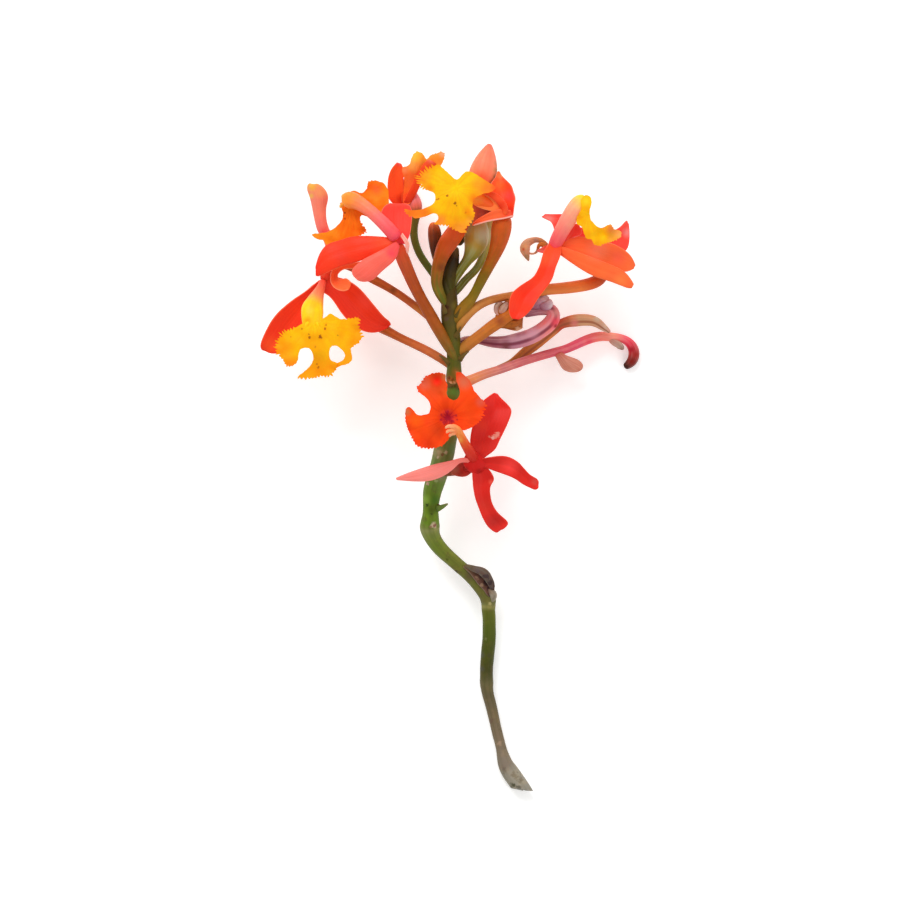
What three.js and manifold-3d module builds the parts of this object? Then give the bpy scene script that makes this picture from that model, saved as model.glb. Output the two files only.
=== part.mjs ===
// A cut flowering stem of a reed-stem epidendrum orchid, lying on a flat surface.
// Millimetres, +Z up. The stem runs along +Y from its cut end to the flower head, and rests at Z = 0.
import * as THREE from "three";
import { mergeVertices } from "three/addons/utils/BufferGeometryUtils.js";
import Module from "manifold-3d";

// Driving dimensions, in millimetres.
const TEPAL_THICKNESS = 0.6;
const TEPAL_BASE_HALF_WIDTH = 0.5;
const TEPAL_TIP_HALF_WIDTH = 0.3;
const WIDEST_ALONG = 0.62; // where along its length a tepal is widest
const LIP_THICKNESS = 0.6;
const HEART_RING_RADIUS = 1.75; // the circle on the ovary's end from which the five tepals spring
const OVARY_GAP = 0.65; // from the ring back to the ovary's end
const OVARY_LEAD = 1.6; // the last of the ovary that runs straight on from the column
const COLUMN_RADII = [0.85, 1.1, 1.5, 1.9, 1.4];
const THROAT_GAP = 1.4; // from the column's end to the back edge of the lip
const THROAT_DEPTH = 0.6; // how far the column ends behind the lip's face
const LIP_FALL = 0.02; // how fast the lobes bend back: the fall is this times the square of the reach
// The lip's outline as radii at angles, in degrees, from the middle lobe's line.
const LIP_OUTLINE = [
  [0, 7.4], [22, 8.0], [34, 4.4], [47, 7.8], [90, 8.8], [112, 7.2], [140, 3.6], [180, 2.2],
];

const STALK_SIDES = 8;
const STALK_STEP = 3; // the length of one segment of a stalk
const STEM_SIDES = 10;
const STEM_STEP = 3;
const JOIN_GAP = 0.3; // what springs from the stem stops this far from its skin

// The whole plant is moved by this, so that the middle of its footprint is the origin.
const SHIFT = [-0.25, -0.16, 0];

const COLOURS = {
  stem: 0x6d7d2c,
  pedicel: 0xb9652a,
  sepal_red: 0xf03a22,
  sepal_orange: 0xf86a38,
  sepal_pink: 0xf57f70,
  lip_yellow: 0xffb80a,
  lip_orange: 0xf9711b,
  column: 0xf7905a,
  bud: 0xee7a55,
  green_bud: 0x8b8a3c,
  withered: 0xa5645c,
  dry: 0x6b5648,
};

const wasm = await Module();
wasm.setup();

const UP = [0, 0, 1];
const STALK_FACING = [0.05, 0.02, 1]; // close to upwards, and never along a stalk
const vector = (p) => new THREE.Vector3(...p);
const mix = THREE.MathUtils.lerp;

// The value at 0..1 along a list of evenly spaced values.
function sample(values, along) {
  const place = along * (values.length - 1);
  const low = Math.min(Math.floor(place), values.length - 2);
  return mix(values[low], values[low + 1], place - low);
}

// Lays a seed geometry, whose z runs from 0 to 1, on a spine. The section gives a vertex its distance
// sideways and outwards; the outward side turns from facing[0] at the start to facing[1] at the end.
function growAlong(seed, spine, facing, section) {
  const position = seed.attributes.position;
  for (let i = 0; i < position.count; i++) {
    const along = THREE.MathUtils.clamp(position.getZ(i), 0, 1);
    const tangent = spine.getTangentAt(along);
    const hint = facing[0].clone().lerp(facing[1], along);
    const side = new THREE.Vector3().crossVectors(hint, tangent).normalize();
    const outward = new THREE.Vector3().crossVectors(tangent, side);
    const [sideways, out] = section(position.getX(i), position.getY(i), along);
    const at = spine.getPointAt(along).addScaledVector(side, sideways).addScaledVector(outward, out);
    position.setXYZ(i, at.x, at.y, at.z);
  }
  return seed;
}

const spineThrough = (points) => new THREE.CatmullRomCurve3(points.map(vector), false, "centripetal");

// A round stalk along points, with radii that change evenly from its start to its end.
function stalk(points, radii, sides = STALK_SIDES, step = STALK_STEP) {
  const spine = spineThrough(points);
  const steps = Math.max(radii.length - 1, Math.ceil(spine.getLength() / step));
  const seed = new THREE.CylinderGeometry(1, 1, 1, sides, steps);
  seed.rotateX(Math.PI / 2).translate(0, 0, 0.5);
  const up = vector(STALK_FACING);
  const section = (x, y, along) => [x * sample(radii, along), y * sample(radii, along)];
  return growAlong(seed, spine, [up, up], section);
}

// The rachis and peduncle, from the cut end to the top, with a swelling at each node.
const STEM_POINTS = [
  [14, -64.4, 2.2], [11.6, -60.4, 2], [9.2, -54, 1.9], [7.8, -46.6, 2.1], [7.2, -38.6, 2.8],
  [7.4, -30.6, 3.9], [7.2, -26, 4.6], [4.8, -22.2, 5.3], [1, -18.4, 6.2], [-2.6, -14.6, 7.2],
  [-4, -11, 8.2], [-3.6, -6.4, 9.4], [-2, -0.6, 11], [-0.8, 5.4, 12.6], [0.4, 13.4, 14.6],
  [0.6, 21.4, 16.4], [0.4, 27.4, 17.6], [0, 33.4, 18.6], [-0.6, 38, 19.4],
];
const STEM_RADII = [
  2.2, 1.8, 1.6, 1.5, 1.5, 1.5, 1.6, 1.6, 1.9, 1.8, 2, 2, 2.2,
  2, 2, 2.1, 2.2, 2, 1.9, 1.8, 1.8, 1.8, 2, 2, 1.6, 1,
];
const STEM_LINE = spineThrough(STEM_POINTS).getSpacedPoints(200);

// The point of the stem's middle line that lies this far along Y.
const stemAt = (y) => STEM_LINE.find((point) => point.y >= y).toArray();

function solidOf(geometry) {
  const bare = geometry.clone().deleteAttribute("normal").deleteAttribute("uv");
  const merged = mergeVertices(bare, 1e-3);
  const vertProperties = merged.attributes.position.array;
  const triVerts = new Uint32Array(merged.index.array);
  return new wasm.Manifold(new wasm.Mesh({ numProp: 3, vertProperties, triVerts }));
}

const clearRadii = STEM_RADII.map((radius) => radius + JOIN_GAP);
const STEM_CLEARANCE = solidOf(stalk(STEM_POINTS, clearRadii, STEM_SIDES, STEM_STEP));

// A piece that starts inside the stem, cut off just short of the stem's skin.
function springing(geometry) {
  const mesh = solidOf(geometry).subtract(STEM_CLEARANCE).getMesh();
  const cut = new THREE.BufferGeometry();
  cut.setAttribute("position", new THREE.BufferAttribute(mesh.vertProperties, 3));
  cut.setIndex(new THREE.BufferAttribute(mesh.triVerts, 1));
  cut.computeVertexNormals();
  return cut;
}

// A tepal's half width along its length: narrow where it springs, widest past the middle, then pointed.
function tepalHalfWidth(width, along) {
  const blade = Math.pow(along, 0.9) * Math.pow(1 - along, 0.55);
  const widest = Math.pow(WIDEST_ALONG, 0.9) * Math.pow(1 - WIDEST_ALONG, 0.55);
  const foot = mix(TEPAL_BASE_HALF_WIDTH, TEPAL_TIP_HALF_WIDTH, along);
  return foot + (width / 2 - foot) * (blade / widest);
}

// A sepal or petal: a thin curved blade. cup lifts its edges towards the side it faces.
function tepal(points, width, facing, cup = 0.12) {
  const seed = new THREE.BoxGeometry(1, 1, 1, 4, 1, 7).translate(0, 0, 0.5);
  const section = (x, y, along) => {
    const half = tepalHalfWidth(width, along);
    return [2 * x * half, y * TEPAL_THICKNESS + cup * half * 4 * x * x];
  };
  return growAlong(seed, spineThrough(points), facing, section);
}

function lipRadius(angle) {
  const degrees = Math.abs(THREE.MathUtils.radToDeg(angle));
  const next = Math.max(1, LIP_OUTLINE.findIndex(([at]) => at >= degrees));
  const [from, to] = [LIP_OUTLINE[next - 1], LIP_OUTLINE[next]];
  return mix(from[1], to[1], (degrees - from[0]) / (to[0] - from[0]));
}

// The directions of a lip: across its side lobes, along its middle lobe, and out of its face.
function lipAxes({ across, along }) {
  const side = vector(across).normalize();
  const middle = vector(along);
  middle.addScaledVector(side, -middle.dot(side)).normalize();
  const face = new THREE.Vector3().crossVectors(middle, side);
  return { side, middle, face };
}

// The blade of the lip: a flattened ball drawn out into lobes, whose edges bend back from its face.
function lipBlade(lip) {
  const { side, middle, face } = lipAxes(lip);
  const seed = new THREE.SphereGeometry(1, 32, 6);
  const position = seed.attributes.position;
  for (let i = 0; i < position.count; i++) {
    const angle = Math.atan2(position.getX(i), position.getZ(i));
    const reach = Math.hypot(position.getX(i), position.getZ(i)) * lipRadius(angle) * lip.scale;
    const across = reach * Math.sin(angle);
    const along = reach * Math.cos(angle);
    const height = (position.getY(i) * LIP_THICKNESS) / 2 - LIP_FALL * reach * reach;
    const at = vector(lip.centre).addScaledVector(side, across).addScaledVector(middle, along);
    at.addScaledVector(face, height);
    position.setXYZ(i, at.x, at.y, at.z);
  }
  return seed;
}

// Where the column ends, just short of the back edge of the lip.
function throatOf(lip) {
  const { middle, face } = lipAxes(lip);
  const behind = lip.scale * lipRadius(Math.PI) + THROAT_GAP;
  return vector(lip.centre).addScaledVector(middle, -behind).addScaledVector(face, -THROAT_DEPTH);
}

// Each flower: the heart is where its tepals, column and ovary meet. A tepal is [points after the ring,
// width, cup, colour, the way its tip faces]; without the last it faces as the flower does.
const FLOWERS = {
  lower_left: {
    heart: [-24.6, 38.2, 16],
    lip: {
      centre: [-26.4, 26.4, 21], across: [1, 0.05, 0], along: [0.05, -1, -0.12],
      scale: 1, colour: "lip_yellow",
    },
    pedicel: [
      stemAt(21.6), [-2.4, 24.4, 16.8], [-9.2, 32.8, 16], [-15.6, 37.4, 15], [-18.4, 39.8, 14.2],
      [-21.2, 41.2, 14],
    ],
    pedicelRadii: [1.1, 1.1, 1.2, 1.3, 1.4],
    tepals: {
      dorsal_sepal: [[[-25.4, 46.4, 16.4], [-27.4, 56.2, 18.4]], 4.4, 0.2, "sepal_pink"],
      left_sepal: [[[-31.8, 31.4, 13], [-37.4, 23.8, 9]], 6, 0.1, "sepal_red"],
      right_sepal: [[[-19.2, 32.4, 15], [-12.6, 28, 12]], 6, 0.1, "sepal_red"],
      left_petal: [[[-29, 35.4, 9], [-32, 30.4, 0.25]], 4.6, 0.1, "sepal_red"],
      right_petal: [[[-22.6, 35.8, 9], [-20.4, 32.4, 0.25]], 4.6, 0.1, "sepal_red"],
    },
  },
  upper_left: {
    heart: [-10, 44.4, 27],
    lip: {
      centre: [-20.2, 50.4, 20.2], across: [-0.85, -0.52, 0.1], along: [0.45, -0.48, -0.75],
      scale: 1, colour: "lip_orange",
    },
    pedicel: [stemAt(24.6), [-2.2, 27, 18.6], [-5.4, 33.4, 21], [-7.6, 39, 24.6]],
    pedicelRadii: [1.3, 1.2, 1.3, 1.5],
    tepals: {
      dorsal_sepal: [[[-10.4, 48.8, 27.6], [-10.8, 53.2, 27]], 5.4, 0.1, "sepal_pink", [-0.3, 0, 1]],
      left_sepal: [[[-18.6, 43.4, 26.2], [-26.8, 38.6, 24.8]], 6.4, 0.08, "sepal_red", [0, 0.5, 1]],
      right_sepal: [[[-13.4, 41, 30.4], [-18.2, 37.2, 29.6]], 5, 0.1, "sepal_pink", [-0.4, 0, 1]],
      left_petal: [
        [[-16, 41.2, 21.8], [-22, 39.8, 20.8], [-23.8, 37, 22.2], [-20.2, 35.2, 24.6]],
        3.4, 0.2, "sepal_orange",
      ],
      right_petal: [[[-11.4, 46.6, 20], [-12.6, 46.6, 12.5]], 4.4, 0.1, "sepal_red"],
    },
  },
  top: {
    heart: [-8.6, 52, 14],
    lip: {
      centre: [-4.8, 61.6, 16.6], across: [0.45, 0, -0.89], along: [0.35, 0.5, 0.2],
      scale: 0.8, colour: "lip_orange",
    },
    pedicel: [stemAt(33.6), [-2.6, 37.4, 17.6], [-5.4, 43, 16.6], [-7.4, 48.2, 14.4]],
    pedicelRadii: [0.9, 0.9, 1, 1.2],
    tepals: {
      dorsal_sepal: [[[-11.4, 56.4, 16.6], [-10.6, 61, 19]], 4.4, 0.1, "sepal_red"],
      left_sepal: [[[-11.6, 49.8, 9.5], [-12.6, 49.6, 3.5]], 4.4, 0.1, "sepal_red"],
      right_sepal: [[[-9, 56.6, 7], [-7.6, 58.8, 0.2]], 4.4, 0.1, "sepal_red"],
      left_petal: [[[-12, 55.4, 8], [-12.6, 56.6, 0.5]], 4.4, 0.1, "sepal_red"],
      right_petal: [[[-3.8, 52.2, 10.5], [-4.2, 53.6, 3.5]], 4.4, 0.1, "sepal_orange"],
    },
  },
  crown: {
    heart: [11.2, 50.8, 29],
    lip: {
      centre: [0.2, 53.2, 34.4], across: [0.3, -0.6, -0.5], along: [-0.94, -0.33, -0.1],
      scale: 1, colour: "lip_yellow",
    },
    pedicel: [stemAt(30.6), [2.4, 32.8, 20], [7.8, 39.6, 23], [10.6, 45.6, 26.4]],
    pedicelRadii: [1.2, 1.5, 1.9, 2.2, 1.6],
    tepals: {
      dorsal_sepal: [[[12.4, 54.6, 29.8], [9.9, 59.2, 27.4]], 5.4, 0.3, "sepal_red"],
      left_sepal: [[[8.2, 52.4, 27.6], [4.8, 52.6, 29]], 3.4, 0.1, "sepal_orange"],
      right_sepal: [[[9, 49, 29.6], [4.6, 48.2, 28.6]], 3.6, 0.1, "sepal_orange"],
      left_petal: [[[14, 55, 23.5], [13.6, 57.4, 16.4]], 4.4, 0.1, "sepal_red"],
      right_petal: [[[10.4, 52, 24], [11.8, 52.6, 17.4]], 4.4, 0.1, "sepal_red"],
    },
  },
  right: {
    heart: [21.6, 43.6, 17],
    lip: {
      centre: [30, 49.6, 20], across: [-0.1, -0.2, -0.97], along: [0.9, -0.42, 0],
      scale: 0.8, colour: "lip_yellow",
    },
    pedicel: [
      stemAt(25.6), [3, 28, 18], [9.8, 34.6, 18], [18.8, 35.6, 14], [27.4, 36.4, 10],
      [30.6, 38.4, 9.4], [26.6, 40.6, 10.4],
    ],
    pedicelRadii: [1.1, 1.1, 1.2, 1.3, 1.5],
    tepals: {
      dorsal_sepal: [[[20.6, 47, 15], [18.4, 50.2, 12.6]], 3.6, 0.1, "sepal_red"],
      left_sepal: [[[19.6, 38.4, 21.4], [12.6, 30, 24]], 5, 0.08, "sepal_orange"],
      right_sepal: [[[29.4, 40.8, 19.4], [36.4, 36.4, 18]], 5.4, 0.1, "sepal_orange", UP],
      left_petal: [[[30, 43.6, 15.2], [37, 40, 13.4]], 5.4, 0.1, "sepal_orange", UP],
      right_petal: [[[28.6, 48, 9.6], [35, 50, 4]], 5, 0.1, "sepal_red"],
    },
  },
  front: {
    heart: [5.2, 1, 16.6],
    lip: {
      centre: [-0.2, 10.4, 23], across: [-1, -0.15, 0], along: [-0.1, 1, -0.1],
      scale: 1, colour: "lip_orange",
    },
    pedicel: [stemAt(-4), [1.2, -3.4, 11.4], [4.8, -2.8, 12.8]],
    pedicelRadii: [1, 1, 1.2],
    tepals: {
      dorsal_sepal: [[[8.6, 6.8, 16.6], [11.4, 13.6, 15]], 7, 0.1, "sepal_red", UP],
      left_sepal: [[[-2.8, -1, 19], [-10.8, -2.2, 19]], 4.2, 0.1, "sepal_pink"],
      right_sepal: [[[5.8, -6.4, 16.6], [10.4, -12.2, 14.6]], 5, 0.1, "sepal_red"],
      left_petal: [[[2.4, -1.6, 14.6], [0.2, -3.4, 14]], 3, 0.1, "sepal_red"],
      right_petal: [[[11.8, 0.4, 17.2], [17.4, -3.6, 15]], 5, 0.1, "sepal_red"],
    },
  },
};

// Buds and their stalks, grown as one piece each: [points, radii].
const BUDS = {
  large_bud: [
    [
      stemAt(32.4), [-2.2, 34.6, 20.6], [-3.4, 38, 22.8], [-2, 43, 24.6], [0, 47.4, 26.4],
      [2.8, 53.4, 25.6], [5.2, 58.8, 26], [7.2, 64.4, 26.4],
    ],
    [0.9, 1, 1.2, 1.6, 1.9, 1.9, 2.3, 2.9, 2.7, 1.7, 0.4],
    "bud",
  ],
  pale_bud: [
    [[0.7, 37.6, 19.4], [1.4, 41, 20.6], [3.2, 45, 21.6], [4.6, 48.4, 21.8]],
    [0.7, 0.9, 1.8, 2.1, 1.6, 0.4],
    "green_bud",
  ],
  dark_bud: [
    [[-1.9, 37.6, 19.2], [-2.6, 40.4, 20.4], [-4.4, 45, 21], [-4.8, 48, 21]],
    [0.6, 0.8, 1.2, 1.4, 1.1, 0.3],
    "green_bud",
  ],
  stalked_bud: [
    [stemAt(34), [2, 36.4, 18], [4.8, 40.2, 17.6], [6.8, 44.4, 18], [7.2, 49.4, 18.4], [8, 56, 19.6]],
    [0.8, 0.8, 0.8, 1, 1.7, 1.6, 0.4],
    "green_bud",
  ],
  hidden_bud: [
    [stemAt(19), [-2.2, 21.2, 15], [-7.2, 24.8, 12.8], [-12.6, 27.6, 9.4], [-17.4, 30.8, 7.6]],
    [1, 1, 1.1, 1.3, 1.8, 0.5],
    "bud",
  ],
};

// Flowers that have withered on their stalks: [points, radii].
const WITHERED = {
  purple_pod: [
    [
      stemAt(25.4), [3, 25.2, 14.6], [5.4, 25, 14], [9.8, 24.2, 13.4], [14.8, 25, 12.8],
      [19.2, 27.8, 12.4], [21, 30.4, 12], [19.8, 32.4, 11], [17.4, 33, 10],
    ],
    [0.8, 1, 1.6, 1.9, 1.9, 1.7, 1.4, 1.4],
    "withered",
  ],
  brown_pod: [
    [
      stemAt(15), [2.4, 16.4, 12.6], [8.5, 18.8, 9.8], [13.6, 21.6, 8.2], [16.8, 24.4, 8],
      [20.2, 27.8, 8], [24.2, 30, 8.2], [27.8, 29.4, 8], [30.2, 26.8, 7.4], [31.6, 24.2, 7],
    ],
    [0.7, 0.7, 0.8, 1, 1.3, 1.3, 1.2, 0.9, 0.5],
    "dry",
  ],
  pink_stalk: [
    [
      stemAt(17), [3.2, 16.6, 16.8], [9.8, 19.6, 15], [19.8, 23, 10], [27.8, 25.8, 5.5],
      [32.8, 26.8, 3], [36.2, 25.4, 1.7], [37.4, 22.4, 1.2], [35.6, 20, 1],
    ],
    [1, 1, 1.05, 1.1, 1.1, 1.15, 1.2, 1.3, 1.3, 1.2, 0.9],
    "withered",
  ],
  curled_stalk: [
    [
      stemAt(21.4), [3, 23.4, 18.2], [6.8, 26.2, 18.6], [12.2, 29.8, 18.8], [15.8, 33.4, 19],
      [17.4, 37.6, 17.2], [17.8, 41.2, 13.6], [18.2, 44.2, 12.4], [16.8, 45.8, 12.8],
      [14.6, 44.4, 13.4], [15, 42, 13.8],
    ],
    [1.1, 1.1, 1.1, 0.9, 0.7, 0.6, 0.6, 0.7, 0.9, 0.5],
    "dry",
  ],
};

const plant = new THREE.Group();
plant.position.set(...SHIFT);

function add(name, geometry, colour) {
  const material = new THREE.MeshStandardMaterial({ color: COLOURS[colour], roughness: 0.5, metalness: 0 });
  const mesh = new THREE.Mesh(geometry, material);
  mesh.name = name;
  plant.add(mesh);
}

// Where a flower's tepals spring: evenly round a ring, in the order in which they point.
function springPoints(heart, axis, tepals) {
  const right = new THREE.Vector3().crossVectors(vector(UP), axis).normalize();
  const top = new THREE.Vector3().crossVectors(axis, right);
  const angles = tepals.map(([points]) => {
    const outward = vector(points[0]).sub(heart);
    return Math.atan2(outward.dot(top), outward.dot(right));
  });
  const step = (2 * Math.PI) / tepals.length;
  const ranks = angles.map((angle) => angles.filter((other) => other < angle).length);
  const turns = angles.map((angle, i) => angle - ranks[i] * step);
  const start = Math.atan2(
    turns.reduce((sum, turn) => sum + Math.sin(turn), 0),
    turns.reduce((sum, turn) => sum + Math.cos(turn), 0),
  );
  return ranks.map((rank) => {
    const angle = start + rank * step;
    const point = heart.clone().addScaledVector(right, HEART_RING_RADIUS * Math.cos(angle));
    return point.addScaledVector(top, HEART_RING_RADIUS * Math.sin(angle)).toArray();
  });
}

function addFlower(place, flower) {
  const heart = vector(flower.heart);
  const throat = throatOf(flower.lip);
  const axis = throat.clone().sub(heart).normalize();
  const ovaryEnd = heart.clone().addScaledVector(axis, -OVARY_GAP);
  const lead = ovaryEnd.clone().addScaledVector(axis, -OVARY_LEAD);
  const pedicel = [...flower.pedicel, lead.toArray(), ovaryEnd.toArray()];
  add(`${place}_flower_pedicel`, springing(stalk(pedicel, flower.pedicelRadii)), "pedicel");
  add(`${place}_flower_column`, stalk([heart.toArray(), throat.toArray()], COLUMN_RADII, 10, 3), "column");
  add(`${place}_flower_lip`, lipBlade(flower.lip), flower.lip.colour);
  const springs = springPoints(heart, axis, Object.values(flower.tepals));
  Object.entries(flower.tepals).forEach(([part, [points, width, cup, colour, tipFacing]], i) => {
    const facing = [axis, tipFacing ? vector(tipFacing) : axis];
    add(`${place}_flower_${part}`, tepal([springs[i], ...points], width, facing, cup), colour);
  });
}

add("main_stem", stalk(STEM_POINTS, STEM_RADII, STEM_SIDES, STEM_STEP), "stem");
Object.entries(FLOWERS).forEach(([place, flower]) => addFlower(place, flower));
for (const [name, [points, radii, colour]] of Object.entries({ ...BUDS, ...WITHERED })) {
  add(name, springing(stalk(points, radii)), colour);
}

// A withered sepal that hangs from the pink stalk, and the dry sheath round the stem's knee.
const up = vector(UP);
const hangingPoints = [[21.4, 21, 7.6], [24, 20.2, 5.6], [26.4, 20.4, 4.4]];
add("hanging_sepal", tepal(hangingPoints, 2.8, [up, up], 0.1), "sepal_pink");
const outOfKnee = vector([0.6, 0.4, 0.7]);
const sheathPoints = [[8.8, -26.6, 7], [8, -22.6, 7.9], [4.2, -18.6, 8.6]];
add("dry_sheath", tepal(sheathPoints, 4.4, [outOfKnee, outOfKnee], -0.25), "dry");

export default plant;
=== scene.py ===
import math
import random

import bmesh
import bpy
from mathutils import Matrix, Vector


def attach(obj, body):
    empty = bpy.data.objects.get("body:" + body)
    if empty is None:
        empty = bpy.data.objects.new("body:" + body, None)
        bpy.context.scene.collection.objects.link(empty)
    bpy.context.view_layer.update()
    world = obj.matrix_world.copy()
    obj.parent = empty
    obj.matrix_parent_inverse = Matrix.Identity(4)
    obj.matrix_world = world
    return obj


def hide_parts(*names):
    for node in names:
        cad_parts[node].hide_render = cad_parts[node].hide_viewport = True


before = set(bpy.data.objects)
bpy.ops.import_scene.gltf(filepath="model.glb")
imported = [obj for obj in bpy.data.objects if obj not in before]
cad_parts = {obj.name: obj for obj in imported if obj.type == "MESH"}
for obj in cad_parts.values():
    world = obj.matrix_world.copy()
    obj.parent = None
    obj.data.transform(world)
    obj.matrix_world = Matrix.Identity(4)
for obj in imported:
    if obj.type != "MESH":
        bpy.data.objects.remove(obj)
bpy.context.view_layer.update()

# ---------------------------------------------------------------------------------------------
# Measures. Plans are drawn on a board of 0.2 mm squares, counted to the right (u) and down (v).
# Heights above the surface that the plant lies on, widths and radii are in millimetres.
# ---------------------------------------------------------------------------------------------
MM = 0.001
SQUARE = 0.2 * MM
ORIGIN_SQUARE = (451.25, 466.2)  # the square that lies over the frame's origin
TEPAL_THICKNESS = 0.34 * MM
LIP_THICKNESS = 0.4 * MM
WITHERED_THICKNESS = 0.7 * MM
GROOVE_DEPTH, GROOVE_WIDTH = 0.035, 0.07  # a tepal's middle groove, as shares of its width
RIPPLE_PITCH = 0.9  # how far a tepal's ripple turns from row to row, in radians
STALK_SIDES, POD_SIDES = 14, 24
THINNEST = 0.05 * MM  # a stalk doesn't close past this radius at its ends
STEEP = 0.93  # past this rise a stalk's sections are turned by another direction
LEVEL_UP, STEEP_UP = Vector((0.05, 0.02, 1)), Vector((0, 1, 0.1))
ROUND_ANGLE = 50  # degrees; sharper folds keep an edge in the shading

# The plain shape of a tepal: its half width rises and falls as these powers of the way along.
RISE, FALL, BROADEST = 0.9, 0.5, 0.402
FOOT_WIDTH, SPARE_WIDTH = 1.1, 0.12

# A lip's rim, in squares: its plain stretches step and waver, and its frill has teeth of mixed
# sizes. A tooth is a notch, then where along and how far out its three corners lie.
RIM_STEP, RIM_WAVER, SHEET_MARGIN = 2.2, 0.28, 8
TOOTH_SIZES = (0.35, 0.7, 1.0, 1.45)
NOTCH = 0.42
TOOTH_CORNERS = (((0.2, 0.32), 0.28), ((0.45, 0.6), 0.58), ((0.7, 0.82), 0.24))
FRILL_REACH = 1.9  # how far a frill's wave reaches, in millimetres
CUTTER_DEPTH = 60 * MM
ROUND_OFF = "SUBSURF", {"levels": 1, "render_levels": 1}


def on_board(u, v, height):
    """A place over the board, in the frame."""
    return Vector(((u - ORIGIN_SQUARE[0]) * SQUARE, (ORIGIN_SQUARE[1] - v) * SQUARE, height * MM))


def between(a, b, c, d, t):
    """A share t of the way from b to c, on the smooth curve through all four."""
    return (b * 2 + (c - a) * t + (a * 2 - b * 5 + c * 4 - d) * t ** 2 + (b * 3 - a - c * 3 + d) * t ** 3) * 0.5


def smooth_through(values, steps):
    """Evenly spaced values on a smooth curve through the given vectors or numbers."""
    ends = [values[0] * 2 - values[1], *values, values[-1] * 2 - values[-2]]
    found = [between(*ends[i:i + 4], step / steps) for i in range(len(values) - 1) for step in range(steps)]
    return [*found, values[-1]]


def ways_along(line):
    """The direction of a line at each of its points."""
    last = len(line) - 1
    return [(line[min(i + 1, last)] - line[max(i - 1, 0)]).normalized() for i in range(last + 1)]


def axes(side, out):
    """The matrix that turns a row's own directions to side and out."""
    return Matrix((side, out.cross(side), out)).transposed()


# ---------------------------------------------------------------------------------------------
# Working a mesh in edit mode.
# ---------------------------------------------------------------------------------------------
def start(add, **settings):
    """Adds a primitive and opens it."""
    bpy.ops.object.select_all(action="DESELECT")
    add(**settings)
    bpy.ops.object.mode_set(mode="EDIT")
    bpy.ops.mesh.select_mode(type="VERT")


def pick(test):
    """Selects the vertices that pass the test, and no others."""
    mesh = bmesh.from_edit_mesh(bpy.context.edit_object.data)
    for kind in (mesh.faces, mesh.edges, mesh.verts):
        for part in kind:
            part.select = False
    for vert in mesh.verts:
        if test(vert):
            vert.select = True
    mesh.select_flush_mode()


def on_all(operator, **settings):
    """Selects the whole open mesh, and runs an operator on it."""
    bpy.ops.mesh.select_all(action="SELECT")
    operator(**settings)


def turn(matrix, centre):
    """Turns what is selected about a point, by three plain rotations."""
    for axis, angle in zip("XYZ", matrix.to_euler("XYZ")):
        # With no window the operator turns the other way.
        bpy.ops.transform.rotate(value=-angle, orient_axis=axis, center_override=centre)


def leave(name):
    """Closes the open mesh, names its piece and puts the piece's place in its mesh."""
    bpy.ops.object.mode_set(mode="OBJECT")
    piece = bpy.context.object
    piece.name = piece.data.name = name
    bpy.ops.object.transform_apply(location=True, rotation=True, scale=True)
    return piece


def finish_with(piece, *modifiers):
    """Adds modifiers, each a type and its settings, and applies them in turn."""
    bpy.context.view_layer.objects.active = piece
    for kind, settings in modifiers:
        modifier = piece.modifiers.new(kind.title(), kind)
        for name, value in settings.items():
            setattr(modifier, name, value)
        bpy.ops.object.modifier_apply(modifier=modifier.name)
    return piece


def reopened(piece, operator, **settings):
    """Opens a piece again, and runs an operator on the whole of it."""
    bpy.ops.object.select_all(action="DESELECT")
    piece.select_set(True)
    bpy.context.view_layer.objects.active = piece
    bpy.ops.object.mode_set(mode="EDIT")
    on_all(operator, **settings)
    bpy.ops.object.mode_set(mode="OBJECT")
    return piece


def face_out(piece):
    """Turns every face outwards, and shades the piece smooth but for its sharp folds."""
    reopened(piece, bpy.ops.mesh.normals_make_consistent, inside=False)
    bpy.ops.object.shade_smooth_by_angle(angle=math.radians(ROUND_ANGLE))
    return piece


def lay_rows(columns, profile, frames):
    """Folds a flat grid to a profile across its columns, then lays each row on its frame.

    A frame is the row's middle, its scale across and out, and the matrix of its directions."""
    wide = columns + 1
    for column, (x, z) in enumerate(profile):
        pick(lambda vert: vert.index % wide == column)
        bpy.ops.transform.translate(value=(x - (column / columns - 0.5), 0, z))
    for row, (middle, across, out, directions) in enumerate(frames):
        at = (0, row / (len(frames) - 1) - 0.5, 0)
        pick(lambda vert: vert.index // wide == row)
        bpy.ops.transform.resize(value=(across, 1, out), center_override=at)
        turn(directions, at)
        bpy.ops.transform.translate(value=middle - Vector(at))


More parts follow.
